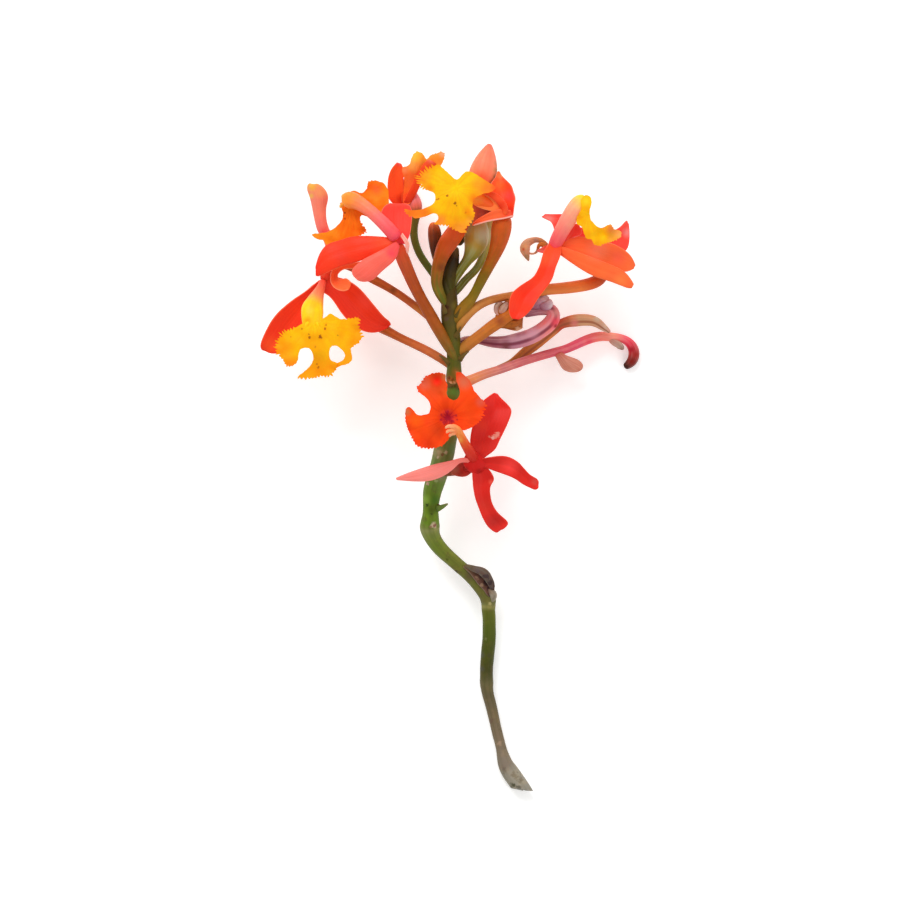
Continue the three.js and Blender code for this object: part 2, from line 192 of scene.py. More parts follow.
def blade(name, plan, cup=0.12, ripple=0.0, columns=8, steps=3, seed=1, thickness=TEPAL_THICKNESS):
    """A sepal or petal: a grid whose rows span its two edges, from its foot to its tip.

    A row of the plan is the squares of its left and right ends, and one height or one for each.
    cup is how far the middle lies below the edges, as a share of the width."""
    left = smooth_through([on_board(row[0], row[1], row[4]) for row in plan], steps)
    right = smooth_through([on_board(row[2], row[3], row[-1]) for row in plan], steps)
    middles = [(a + b) / 2 for a, b in zip(left, right)]
    spans = [b - a for a, b in zip(left, right)]
    outs = [span.cross(along).normalized() for span, along in zip(spans, ways_along(middles))]
    if sum(out.z for out in outs) < 0:
        outs = [-out for out in outs]
    phase = random.Random(seed).uniform(0, 6)
    frames = []
    for i, (middle, span, out) in enumerate(zip(middles, spans, outs)):
        side = span.normalized()
        out = (out - side * out.dot(side)).normalized()
        wave = out * (ripple * MM * math.sin(phase + i * RIPPLE_PITCH))
        frames.append((middle + wave, span.length, span.length, axes(side, out)))
    profile = []
    for column in range(columns + 1):
        x = column / columns - 0.5
        groove = GROOVE_DEPTH * math.exp(-(x / GROOVE_WIDTH) ** 2)
        profile.append((x, cup * (4 * x * x - 0.5) - groove))
    start(bpy.ops.mesh.primitive_grid_add, x_subdivisions=columns, y_subdivisions=len(frames) - 1, size=1)
    lay_rows(columns, profile, frames)
    if ripple:
        pick(lambda vert: vert.is_boundary and vert.index > 2 * columns)
        bpy.ops.transform.vertex_random(offset=ripple * MM * 0.5, seed=seed, normal=0.6)
    shell = "SOLIDIFY", {"thickness": thickness, "offset": 0}
    return face_out(finish_with(leave(name), shell, ROUND_OFF))


def spread(points, width, facing):
    """The plan of a tepal of the plain shape, laid along points that are its middle line."""
    spine = smooth_through([on_board(*point) for point in points], 3)
    plan = []
    for i, (at, way) in enumerate(zip(spine, ways_along(spine))):
        along = i / (len(spine) - 1)
        side = way.cross(Vector(facing)).normalized()
        share = min(along ** RISE * (1 - along) ** FALL / BROADEST, 1)
        half = (FOOT_WIDTH / 2 * (1 - along) + (width - FOOT_WIDTH) / 2 * share + SPARE_WIDTH) * MM
        row, heights = [], []
        for hand in (-1, 1):
            end = at + side * hand * half
            row += [end.x / SQUARE + ORIGIN_SQUARE[0], ORIGIN_SQUARE[1] - end.y / SQUARE]
            heights.append(end.z / MM)
        plan.append(row + heights)
    return plan


def stalk(name, points, ribs=0, rib_depth=0.0, steps=2, sides=STALK_SIDES, bumps=0.0, seed=1):
    """A stalk, bud or pod: a grid rolled into a tube along points of (u, v, height, radius).

    A radius can be a pair, across the board and away from it."""
    middles = smooth_through([on_board(*point[:3]) for point in points], steps)
    radii = [point[3] if isinstance(point[3], tuple) else (point[3], point[3]) for point in points]
    across, out = (smooth_through([pair[i] * MM for pair in radii], steps) for i in (0, 1))
    frames = []
    for i, (middle, along) in enumerate(zip(middles, ways_along(middles))):
        side = along.cross(LEVEL_UP if abs(along.z) < STEEP else STEEP_UP).normalized()
        upward = side.cross(along).normalized()
        frames.append((middle, max(across[i], THINNEST), max(out[i], THINNEST), axes(side, upward)))
    profile = []
    for column in range(sides + 1):
        angle = math.tau * column / sides
        reach = 1 + rib_depth * math.cos(ribs * angle)
        profile.append((reach * math.cos(angle), reach * math.sin(angle)))
    start(bpy.ops.mesh.primitive_grid_add, x_subdivisions=sides, y_subdivisions=len(frames) - 1, size=1)
    lay_rows(sides, profile, frames)
    on_all(bpy.ops.mesh.remove_doubles, threshold=0.002 * MM)
    on_all(bpy.ops.mesh.fill_holes, sides=0)
    if bumps:
        on_all(bpy.ops.transform.vertex_random, offset=bumps * MM, seed=seed, normal=1.0)
    on_all(bpy.ops.mesh.normals_make_consistent, inside=False)
    return face_out(finish_with(leave(name), ROUND_OFF))


def toothed(outline, depth, pitch, seed):
    """Closes an outline smoothly. Where a point has a third value, teeth of that share are cut."""
    corners = [Vector(point[:2]) for point in outline]
    count = len(corners)
    area = sum(corners[i].cross(corners[(i + 1) % count]) for i in range(count))
    draw = random.Random(seed)
    rim = []
    for i, point in enumerate(outline):
        a, b, c, d = (corners[(i + k) % count] for k in (-1, 0, 1, 2))
        share = point[2] if len(point) > 2 else 0
        outward = Vector(((c - b).y, -(c - b).x)).normalized() * (1 if area > 0 else -1)
        steps = max(2, round((c - b).length / (pitch if share else RIM_STEP)))
        for step in range(steps):
            at = between(a, b, c, d, step / steps)
            if not share:
                rim.append(at + outward * draw.uniform(-RIM_WAVER, RIM_WAVER))
                continue
            reach = depth * share * draw.choice(TOOTH_SIZES)
            rim.append(at - outward * reach * NOTCH)
            for (near, far), rise in TOOTH_CORNERS:
                rim.append(at + (c - b) / steps * draw.uniform(near, far) + outward * reach * rise)
    return rim


def lip_blade(name, outline, height, pulls=(), teeth=(3.2, 3.6), ruffle=0.4, seed=3, cells=64):
    """The lip: a sheet pulled into shape, then cut to an outline on the board.

    A pull is a place, its lift and its reach in millimetres. teeth are their depth and pitch in
    squares. The frilled margin also waves by the ruffle, up and down in turn."""
    rim = toothed(outline, *teeth, seed)
    u0, u1 = min(point.x for point in rim), max(point.x for point in rim)
    v0, v1 = min(point.y for point in rim), max(point.y for point in rim)
    middle = on_board((u0 + u1) / 2, (v0 + v1) / 2, height)
    start(bpy.ops.mesh.primitive_grid_add, x_subdivisions=cells, y_subdivisions=cells,
          size=(max(u1 - u0, v1 - v0) + SHEET_MARGIN) * SQUARE, location=middle)
    frills = [point for point in outline if len(point) > 2]
    waves = [(u, v, ruffle * (1 if i % 2 else -1), FRILL_REACH) for i, (u, v, _) in enumerate(frills)]
    for u, v, lift, reach in [*pulls, *waves]:
        at = on_board(u, v, 0) - middle
        mesh = bmesh.from_edit_mesh(bpy.context.edit_object.data)
        nearest = min(mesh.verts, key=lambda vert: (vert.co.xy - at.xy).length).index
        pick(lambda vert: vert.index == nearest)
        bpy.ops.transform.translate(
            value=(0, 0, lift * MM), use_proportional_edit=True,
            proportional_edit_falloff="SMOOTH", proportional_size=reach * MM)
    sheet = finish_with(leave(name), ("SOLIDIFY", {"thickness": LIP_THICKNESS, "offset": 0}))
    cut_out(sheet, rim, height)
    return face_out(sheet)


def cut_out(sheet, rim, height):
    """Keeps what lies inside the rim: a prism of the rim is made and the sheet cut with it."""
    start(bpy.ops.mesh.primitive_circle_add, vertices=len(rim), radius=MM, fill_type="NGON")
    mesh = bmesh.from_edit_mesh(bpy.context.edit_object.data)
    rest = [vert.co.copy() for vert in mesh.verts]
    down = Vector((0, 0, CUTTER_DEPTH / 2))
    for i, point in enumerate(rim):
        pick(lambda vert: vert.index == i)
        bpy.ops.transform.translate(value=on_board(point.x, point.y, height) - rest[i] - down)
    on_all(bpy.ops.mesh.extrude_region_move, TRANSFORM_OT_translate={"value": (0, 0, CUTTER_DEPTH)})
    on_all(bpy.ops.mesh.normals_make_consistent, inside=False)
    prism = leave("cutter")
    bpy.ops.object.select_all(action="DESELECT")
    sheet.select_set(True)
    finish_with(sheet, ("BOOLEAN", {"operation": "INTERSECT", "object": prism, "solver": "EXACT"}))
    bpy.data.objects.remove(prism)


def grown(piece, material, stands_for=None):
    """Gives a piece its material and its place in the frame."""
    piece.data.materials.clear()
    piece.data.materials.append(material)
    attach(piece, "root")
    if stands_for:
        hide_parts(stands_for)


# ---------------------------------------------------------------------------------------------
# Materials. Sizes are in millimetres. A skin's own cells are about 0.05 mm across, too fine to
# show, so they are drawn as grains of about 0.3 mm.
# ---------------------------------------------------------------------------------------------
TEPAL_CELLS, LIP_CELLS, STALK_CELLS = 0.28, 0.3, 0.35
TEPAL_VEINS = 17.0  # across a tepal, so about 0.5 mm apart where it is broad
TEPAL_VEIN_RUNS, STALK_STREAK_RUNS = 1.6, 3.0  # how often they break along the piece
STALK_STREAKS = 2.2  # how closely streaks lie round a stalk
LIP_VEINS, LIP_VEIN_RUNS = 6.5, 150.0  # round the throat, and per metre away from it
VEIN_SHADE, SUN_SHADE = "CE703F", "FFEDCB"
SKIN_IOR = 1.42  # wet cells under a thin wax
# A mark's ragged edge, in its radii: how far it wanders, and where it starts and stops fading.
MARK_WANDER, MARK_CORE, MARK_EDGE = 2.6, 1.75, 2.35
MARK_STRENGTH, GLOW_STRENGTH, STAR_STRENGTH = 0.85, 0.92, 0.92
SOFT = {"interpolation_type": "SMOOTHSTEP"}
TIMES, PLUS = {"operation": "MULTIPLY"}, {"operation": "ADD"}


def linear(colour):
    """An sRGB hex value as linear RGBA."""
    shares = [int(colour[i:i + 2], 16) / 255 for i in (0, 2, 4)]
    return (*(c / 12.92 if c <= 0.04045 else ((c + 0.055) / 1.055) ** 2.4 for c in shares), 1)


def node(tree, kind, inputs=(), out=0, **settings):
    """Adds a node and gives the output asked for. Its inputs, in order or by name, are values or
    outputs to link. Its settings are its own properties, or the stops of a colour ramp."""
    added = tree.nodes.new("ShaderNode" + kind)
    for name, value in settings.items():
        if name != "stops":
            setattr(added, name, value)
            continue
        ramp = added.color_ramp.elements
        while len(ramp) < len(value):
            ramp.new(0.5)
        for stop, (place, colour) in zip(ramp, value):
            stop.position, stop.color = place, linear(colour)
    for socket, value in (inputs.items() if isinstance(inputs, dict) else enumerate(inputs)):
        if isinstance(value, bpy.types.NodeSocket):
            tree.links.new(value, added.inputs[socket])
        else:
            added.inputs[socket].default_value = value
    return added.outputs[out] if added.outputs else None


def new_material(name):
    material = bpy.data.materials.new(name)
    material.use_nodes = True
    material.node_tree.nodes.clear()
    return material, material.node_tree


def close_material(tree, colour, height, roughness, bump, under_skin=0.0, gloss=0.3, glow=0.0):
    """The shader of fresh plant skin or paper, with its colour and height linked."""
    relief = node(tree, "Bump", {"Strength": bump, "Distance": 0.06 * MM, "Height": height})
    shader = node(tree, "BsdfPrincipled", {
        "Roughness": roughness, "IOR": SKIN_IOR, "Specular IOR Level": gloss,
        "Subsurface Weight": under_skin, "Subsurface Radius": (1.0, 0.35, 0.15), "Subsurface Scale": 0.6 * MM,
        "Emission Color": (1, 1, 1, 1), "Emission Strength": glow, "Base Color": colour, "Normal": relief})
    node(tree, "OutputMaterial", {"Surface": shader})


def laid_over(tree, colour, shade, mask, share=None, blend="MIX"):
    """A colour with a shade laid over it where a mask shows, or by a share of the mask."""
    if share is not None:
        mask = node(tree, "Math", (mask, share), **TIMES)
    return node(tree, "Mix", {0: mask, 6: colour, 7: linear(shade)}, 2, data_type="RGBA", blend_type=blend)


def mottle(tree, size, detail=2.0, roughness=0.5):
    """Soft noise whose blotches are about this many millimetres across."""
    here = node(tree, "TexCoord", out="Object")
    return node(tree, "TexNoise", {
        "Vector": here, "Scale": 1 / (size * MM), "Detail": detail, "Roughness": roughness})


def patches(tree, size, low, high, detail=3.0, roughness=0.5):
    """Patches with soft edges, which fade in where the mottle rises from low to high."""
    return node(tree, "MapRange", (mottle(tree, size, detail, roughness), low, high, 0, 1), **SOFT)


def streaks_along(tree, stretched, low, high, detail=2.0):
    """Soft-edged streaks, from coordinates that are stretched along the streaks."""
    lines = node(tree, "CombineXYZ", stretched)
    grain = node(tree, "TexNoise", {"Vector": lines, "Scale": 1.0, "Detail": detail, "Roughness": 0.5})
    return node(tree, "MapRange", (grain, low, high, 0, 1), **SOFT)


def own_map(tree):
    """How far across or round a piece a point lies and how far along it, from 0 to 1."""
    return node(tree, "SeparateXYZ", [node(tree, "UVMap")], slice(2))


def from_place(tree, u, v):
    """The way across the board from one of its squares to the surface."""
    flat = node(tree, "VectorMath", (node(tree, "TexCoord", out="Object"), (1, 1, 0)), **TIMES)
    return node(tree, "VectorMath", (flat, on_board(u, v, 0)), operation="SUBTRACT")


def distance_to(tree, u, v):
    return node(tree, "VectorMath", [from_place(tree, u, v)], "Value", operation="LENGTH")


def add_spots(tree, colour, spots):
    """Ragged marks, each a place on the board, a radius in millimetres and a colour."""
    for u, v, radius, shade in spots:
        rag = node(tree, "Math", (mottle(tree, 0.3 + radius * 0.5, 3.0), MARK_WANDER * radius * MM), **TIMES)
        reach = node(tree, "Math", (distance_to(tree, u, v), rag), **PLUS)
        core, edge = radius * MARK_CORE * MM, (radius * MARK_EDGE + 0.1) * MM
        mark = node(tree, "MapRange", (reach, core, edge, MARK_STRENGTH, 0), **SOFT)
        colour = laid_over(tree, colour, shade, mark)
    return colour


def add_tints_and_painted_light(tree, colour, tints_and_painted_light):
    """Soft patches, each a place on the board, a radius in millimetres and a colour."""
    # Some patches are tints of the skin's own colour; others are painted light that lifts a cast shadow, or
    # painted shade.
    for u, v, radius, shade in tints_and_painted_light:
        near = node(tree, "MapRange", (distance_to(tree, u, v), 0, radius * MM, GLOW_STRENGTH, 0), **SOFT)
        colour = laid_over(tree, colour, shade, near)
    return colour


def tepal_skin(name, foot, body, tip, rim, vein_dark=0.16, spots=(), tints_and_painted_light=()):
    """Fresh orchid tepal, grown: a satin skin of fine cells over parallel veins. It shows soft
    streaks from foot to tip, a little darker than the skin, and a thin paler rim."""
    material, tree = new_material(name)
    across, along = own_map(tree)
    colour = node(tree, "ValToRGB", [along], stops=[(0, foot), (0.28, body), (0.72, body), (1, tip)])
    veins = streaks_along(tree, (
        node(tree, "Math", (across, TEPAL_VEINS), **TIMES),
        node(tree, "Math", (along, TEPAL_VEIN_RUNS), **TIMES)), 0.36, 0.66)
    colour = laid_over(tree, colour, VEIN_SHADE, veins, vein_dark, "MULTIPLY")
    colour = laid_over(tree, colour, tip, patches(tree, 3.2, 0.35, 0.7), 0.22)
    colour = add_tints_and_painted_light(tree, colour, tints_and_painted_light)
    # Painted highlight: a thin paler rim along both edges, as if they caught the light.
    off_middle = node(tree, "Math", (across, 0.5), operation="SUBTRACT")
    edge = node(tree, "Math", [off_middle], operation="ABSOLUTE")
    colour = laid_over(tree, colour, rim, node(tree, "MapRange", (edge, 0.46, 0.5, 0, 0.7), **SOFT))
    colour = add_spots(tree, colour, spots)
    raised = node(tree, "Math", (veins, 0.8), **TIMES)
    height = node(tree, "Math", (raised, mottle(tree, TEPAL_CELLS, 1.0)), **PLUS)
    close_material(tree, colour, height, roughness=0.44, bump=0.35, under_skin=0.1, gloss=0.2)
    return material


def lip_skin(name, throat, near, body, margin, reach, spots=(), streak=0.4, streak_colour=None,
             star=None, tints_and_painted_light=()):
    """Fresh orchid lip, grown: matte, with veins that fan out from the throat and dark specks.

    reach is how far the margin's colour lies from the throat. star is a dark star at the throat."""
    material, tree = new_material(name)
    away = distance_to(tree, *throat)
    rag = node(tree, "Math", (mottle(tree, 1.6, 3.0), 2.2 * MM), **TIMES)
    ragged = node(tree, "Math", (away, rag), **PLUS)
    colour = node(tree, "ValToRGB", [node(tree, "Math", (ragged, reach * MM), operation="DIVIDE")],
                  stops=[(0, near), (0.3, body), (0.72, body), (1, margin)])
    way = node(tree, "VectorMath", [from_place(tree, *throat)], operation="NORMALIZE")
    turned = [node(tree, "Math", (part, LIP_VEINS), **TIMES)
              for part in node(tree, "SeparateXYZ", [way], slice(2))]
    outward = node(tree, "Math", (away, LIP_VEIN_RUNS), **TIMES)
    veins = streaks_along(tree, (*turned, outward), 0.4, 0.66)
    fade = node(tree, "MapRange", (away, reach * 0.3 * MM, reach * MM, 1, 0.3), **SOFT)
    rays = node(tree, "Math", (veins, fade), **TIMES)
    colour = laid_over(tree, colour, streak_colour or margin, rays, streak)
    colour = laid_over(tree, colour, margin, patches(tree, 2.6, 0.45, 0.72), 0.28)
    colour = add_tints_and_painted_light(tree, colour, tints_and_painted_light)
    if star:
        size, shade = star
        points = node(tree, "Math", (node(tree, "Math", (veins, 0.45), **PLUS), size * MM), **TIMES)
        share = node(tree, "Math", (away, points), operation="DIVIDE")
        colour = laid_over(tree, colour, shade, node(
            tree, "MapRange", (share, 0.75, 1.05, STAR_STRENGTH, 0), **SOFT))
    colour = add_spots(tree, colour, spots)
    raised = node(tree, "Math", (veins, 1.4), **TIMES)
    height = node(tree, "Math", (raised, mottle(tree, LIP_CELLS, 1.0)), **PLUS)
    close_material(tree, colour, height, roughness=0.6, bump=0.5, under_skin=0.08, gloss=0.12)
    return material


def stalk_skin(name, stops, streaks=0.3, streak_colour="5A3A10", roughness=0.42, blotches=None, groove_shade=None,
               spots=(), tints_and_painted_light=()):
    """Fresh orchid stalk, grown: a waxy skin whose colour runs along it, in long faint streaks.
    Where it has withered it is rougher and shows blotches, and painted shade darkens the hollows between its
    ribs.

    blotches are their size, strength and colour. grooves are how many, and their colour."""
    material, tree = new_material(name)
    around, along = own_map(tree)
    colour = node(tree, "ValToRGB", [along], stops=stops)
    turned = node(tree, "Math", (around, math.tau), **TIMES)
    circle = [node(tree, "Math", (node(tree, "Math", [turned], operation=way), STALK_STREAKS), **TIMES)
              for way in ("COSINE", "SINE")]
    onward = node(tree, "Math", (along, STALK_STREAK_RUNS), **TIMES)
    grain = streaks_along(tree, (*circle, onward), 0.4, 0.68, detail=3.0)
    colour = laid_over(tree, colour, streak_colour, grain, streaks)
    colour = laid_over(tree, colour, SUN_SHADE, patches(tree, 1.8, 0.45, 0.7), 0.25, "SOFT_LIGHT")
    # Painted shade: the hollows between the ribs are darkened, as shade falls in them.
    if groove_shade:
        ribs, shade = groove_shade
        crest = node(tree, "Math", [node(tree, "Math", (turned, ribs), **TIMES)], operation="COSINE")
        colour = laid_over(tree, colour, shade, node(tree, "MapRange", (crest, -1, -0.35, 0.8, 0), **SOFT))
    if blotches:
        size, strength, shade = blotches
        colour = laid_over(tree, colour, shade, patches(tree, size, 0.56, 0.68, 4.0, 0.65), strength)
    colour = add_tints_and_painted_light(tree, colour, tints_and_painted_light)
    colour = add_spots(tree, colour, spots)
    height = node(tree, "Math", (grain, mottle(tree, STALK_CELLS)), **PLUS)
    close_material(tree, colour, height, roughness, bump=0.45, under_skin=0.05, gloss=0.18)
    return material


# ---------------------------------------------------------------------------------------------
# Camera, lights and floor.
# ---------------------------------------------------------------------------------------------
FRAME_WIDTH = 180 * MM  # what the frame shows at the height of the flowers
CAMERA_HEIGHT, FLOWER_HEIGHT, SENSOR_WIDTH = 3.0, 18 * MM, 36
LAMPS = {"window": ((-0.35, 0.95, 0.95), 11.6), "fill": ((0.7, -0.3, 0.9), 2.5)}  # place and watts
LAMP_SIZE, LIT_PLACE, ROOM_LIGHT = 0.9, Vector((0, 0.02, 0.01)), 0.61
FLOOR_SIZE, FLOOR_GLOW = 30, 0.3


def set_stage():
    scene = bpy.context.scene
    camera = bpy.data.objects.new("camera", bpy.data.cameras.new("camera"))
    scene.collection.objects.link(camera)
    camera.location = on_board(450, 450, 0) + Vector((0, 0, CAMERA_HEIGHT + FLOWER_HEIGHT))
    camera.data.sensor_width = SENSOR_WIDTH
    camera.data.lens = SENSOR_WIDTH * CAMERA_HEIGHT / FRAME_WIDTH
    camera.data.clip_start, camera.data.clip_end = 0.1, 50
    scene.camera = camera
    for name, (place, watts) in LAMPS.items():
        lamp = bpy.data.objects.new(name, bpy.data.lights.new(name, "AREA"))
        lamp.data.shape, lamp.data.size, lamp.data.energy = "DISK", LAMP_SIZE, watts
        lamp.location = place
        lamp.rotation_euler = (LIT_PLACE - lamp.location).to_track_quat("-Z", "Y").to_euler()
        scene.collection.objects.link(lamp)
    scene.world = bpy.data.worlds.new("room")
    scene.world.use_nodes = True
    room = scene.world.node_tree.nodes["Background"]
    room.inputs[0].default_value, room.inputs[1].default_value = (1, 1, 1, 1), ROOM_LIGHT
    scene.view_settings.view_transform = "Standard"
    start(bpy.ops.mesh.primitive_plane_add, size=FLOOR_SIZE)
    floor = leave("floor")
    # Matt paper on a light table: it glows a little, so the shadows on it stay soft and pale.
    material, tree = new_material("paper_matte_white")
    grain = mottle(tree, 1.5)
    white = laid_over(tree, linear("F4F4F3"), "FBFBFA", grain)
    close_material(tree, white, grain, roughness=0.9, bump=0.02, glow=FLOOR_GLOW)
    floor.data.materials.append(material)


set_stage()

# ---------------------------------------------------------------------------------------------
# The stem.
# ---------------------------------------------------------------------------------------------
STEM = [(530, 803, 1.85, 1.75), (521, 789, 1.85, 1.75), (510.5, 774, 1.85, 1.8), (505, 764.5, 1.75, 1.55),
    (502, 752, 1.7, 1.1), (498.3, 738, 1.75, 1.08), (495, 724, 1.85, 1.06), (491.5, 708, 1.95, 1.14),
    (488.4, 697, 2, 1.18), (487, 688, 2.1, 1.3), (486.7, 682, 2.2, 1.38), (486.5, 674, 2.4, 1.32),
    (487.3, 660, 2.8, 1.36), (488.6, 646, 3.2, 1.42), (489.4, 634, 3.5, 1.38), (489.2, 620, 3.9, 1.36),
    (488.6, 611, 4.2, 1.38), (488.6, 605, 4.4, 1.48), (488.4, 601, 4.5, 1.6), (486, 595, 4.7, 1.5),
    (480, 587, 5, 1.5), (471, 577, 5.4, 1.42), (461, 568, 5.8, 1.38), (450, 558.5, 6.3, 1.42),
    (440, 549, 6.9, 1.52), (433, 539, 7.4, 1.66), (430, 531, 7.8, 1.98), (429.6, 526, 8, 2.06),
    (430, 520.5, 8.3, 1.82), (430.5, 512, 8.7, 1.6), (431, 501, 9.2, 1.7), (432.5, 490, 9.7, 1.95),
    (436.5, 477, 10.4, 2), (440.5, 465, 11.1, 2.05), (443.5, 454, 11.9, 2.2), (446, 441, 12.6, 2.1),
    (449, 427, 13.2, 1.9), (451, 411, 14, 1.65), (452.5, 396, 14.8, 1.5), (453.6, 383, 15.5, 1.52),
    (453.8, 377, 15.8, 1.66), (454, 366, 16.3, 1.42), (453.8, 352, 16.8, 1.45), (452.6, 338, 17.2, 1.55),
    (450.8, 324, 17.5, 1.8), (449.6, 311, 17.9, 1.85), (449.4, 300, 18.4, 1.6), (450.4, 289, 18.9, 1.3),
    (452, 279, 19.3, 0.5)]
# Among the stem's patches, the one at (454, 391) is painted light where the front lip's shadow falls, and the
# two at (482.4, 656) and (482.2, 670) are painted shade along the stem's left edge.
stem_skin = stalk_skin("orchid_stem_grown_green", [(0, "847E72"), (0.035, "968E7E"), (0.06, "7C7062"),
    (0.1, "7A6852"), (0.165, "60543A"), (0.2, "625A3A"), (0.235, "424016"), (0.27, "464C12"), (0.3, "4E5810"),
    (0.335, "5E621E"), (0.347, "8A844A"), (0.36, "6E6E3C"), (0.38, "665F2E"), (0.47, "6C7028"),
    (0.51, "6A7A26"), (0.535, "76803A"), (0.55, "84864E"), (0.562, "6E7A34"), (0.58, "627E1E"),
    (0.64, "5E7A1C"), (0.69, "6C8440"), (0.72, "6E7C3C"), (0.76, "646E22"), (0.8, "66621E"), (0.822, "8C6026"),
    (0.845, "5A5E18"), (0.88, "565616"), (0.91, "5C4E18"), (0.94, "54421A"), (0.97, "4E3A12"), (1, "48400E")],
    streaks=0.3, streak_colour="3A4410", roughness=0.5, blotches=(2.2, 0.5, "5A4A2A"), spots=[
        (434, 525.5, 0.7, "C4AE90"), (434.6, 525.8, 0.38, "7A4438"), (430.5, 527, 0.25, "8A6A50"),
        (427, 505, 0.32, "1E2608"), (431.5, 514, 0.22, "3A4610"), (447, 307, 0.5, "3E1E0C"),
        (446.6, 312.5, 0.4, "2E1608"), (446, 319, 0.5, "5A4434"), (439, 452, 0.45, "A0946C"),
        (442.5, 455, 0.3, "6A4A2C"), (446, 452, 0.4, "B0A480"), (438, 457, 0.25, "B8AC8C"),
        (513.5, 787, 0.55, "3E3E22"), (519, 789.5, 0.6, "5A564A"), (490, 604, 0.35, "B0A068"),
        (504, 770, 0.4, "6E6052"), (449, 377.6, 0.3, "5A3010"), (452.5, 379.4, 0.26, "6A3A16"),
        (450.5, 382.6, 0.34, "DCA878"), (454.5, 383, 0.3, "D8A070"), (458, 374, 0.55, "C8703C"),
        (458, 381, 0.5, "D07A48"), (480, 578, 0.6, "4A3428"), (436, 481, 0.35, "8A9A60"),
        (427.5, 483.5, 0.35, "B08878"), (456, 572, 0.35, "443C1E"), (447, 560, 0.28, "4E5418"),
        (489, 656, 0.5, "44421E"), (486, 640, 0.3, "66683A"), (491, 722, 0.5, "6A5442"),
        (500, 745, 0.5, "9A8068")], tints_and_painted_light=[(450, 300, 2.4, "4E3C10"), (457, 306, 1.6, "7A6A2A"),
        (446, 312, 1.6, "4E2E10"), (447, 324, 1.8, "50481C"), (482.4, 656, 0.9, "484A34"),
        (482.2, 670, 0.9, "4A4838"), (426, 500, 1.6, "7A9A34"), (435, 500, 1.6, "456A14"),
        (470, 576, 1.8, "5A4A30"), (505, 767, 1.6, "7C6E5E"), (432, 510, 1.4, "4A580C"),
        (438, 453, 1.8, "948C60"), (452, 449, 1.8, "5E8444"), (441, 477, 1.6, "86805A"),
        (454, 391, 2.2, "5E9038"), (450, 379, 1, "9A5A22"), (456, 372, 1.4, "8A5A20")])
stem = stalk("stem", STEM, sides=20, bumps=0.07, ribs=3, rib_depth=0.02)
# The lower end was cut straight across the board, so its cut face is oblique.
reopened(stem, bpy.ops.mesh.bisect, plane_co=on_board(520, 791, 2), plane_no=(-0.12, -1, 0.1), use_fill=True,
         clear_outer=True)
face_out(stem)
grown(stem, stem_skin, "main_stem")

# ---------------------------------------------------------------------------------------------
# Flower stalks, buds and withered flowers.
# ---------------------------------------------------------------------------------------------
rust_to_olive = stalk_skin("orchid_stalk_grown_rust", [(0, "5E6220"), (0.12, "6E5C1C"), (0.35, "A0521A"),
    (0.62, "AC4A1C"), (0.85, "D0582C"), (1, "E8502C")], streak_colour="8E3A12")
crimson_stalk = stalk_skin("orchid_stalk_grown_crimson", [(0, "5E5A26"), (0.2, "7E4A28"), (0.45, "A03A28"),
    (0.7, "B42C20"), (1, "C4201A")], streak_colour="7E2018", tints_and_painted_light=[(456, 470, 1.2, "A8563A"),
        (466, 474, 1, "C84038")])
# Its patch at (419, 309) is painted light where the stalks above cast shade, and the dark one at (393, 290) is
# a painted shadow of the upper left flower's sepal.
left_rust = stalk_skin("orchid_stalk_grown_brown", [(0, "6E6A1E"), (0.1, "A8602A"), (0.3, "C06030"),
    (0.5, "B0541E"), (0.7, "9C4818"), (0.84, "B83A18"), (0.91, "CC2614"), (1, "D62A1A")],
    streak_colour="D87840", spots=[(418, 351, 0.2, "3A1A08")], tints_and_painted_light=[(419, 309, 2, "CC7A30"),
        (393, 290, 1.2, "86421A")])
crown_rust = stalk_skin("orchid_stalk_grown_orange", [(0, "80661C"), (0.12, "9C6A1E"), (0.24, "8E6C1A"),
    (0.38, "7A6A16"), (0.5, "845E10"), (0.62, "AE5614"), (0.8, "C85218"), (1, "D4541C")],
    streak_colour="7E6014")
tan_stalk = stalk_skin("orchid_stalk_grown_tan", [(0, "8A7028"), (0.08, "C0803C"), (0.22, "C88042"),
    (0.36, "CE8440"), (0.48, "E08040"), (0.6, "E87838"), (0.66, "D85C24"), (0.74, "A83A12"), (0.86, "C03C18"),
    (1, "E03C20")], streak_colour="B8601C", streaks=0.22)
olive_stalk = stalk_skin("orchid_stalk_grown_olive", [(0, "525E16"), (0.4, "5E6420"), (0.6, "6A6026"),
    (0.7, "A05A2C"), (0.76, "E87060"), (0.86, "F08088"), (1, "E87480")], streak_colour="444A12")

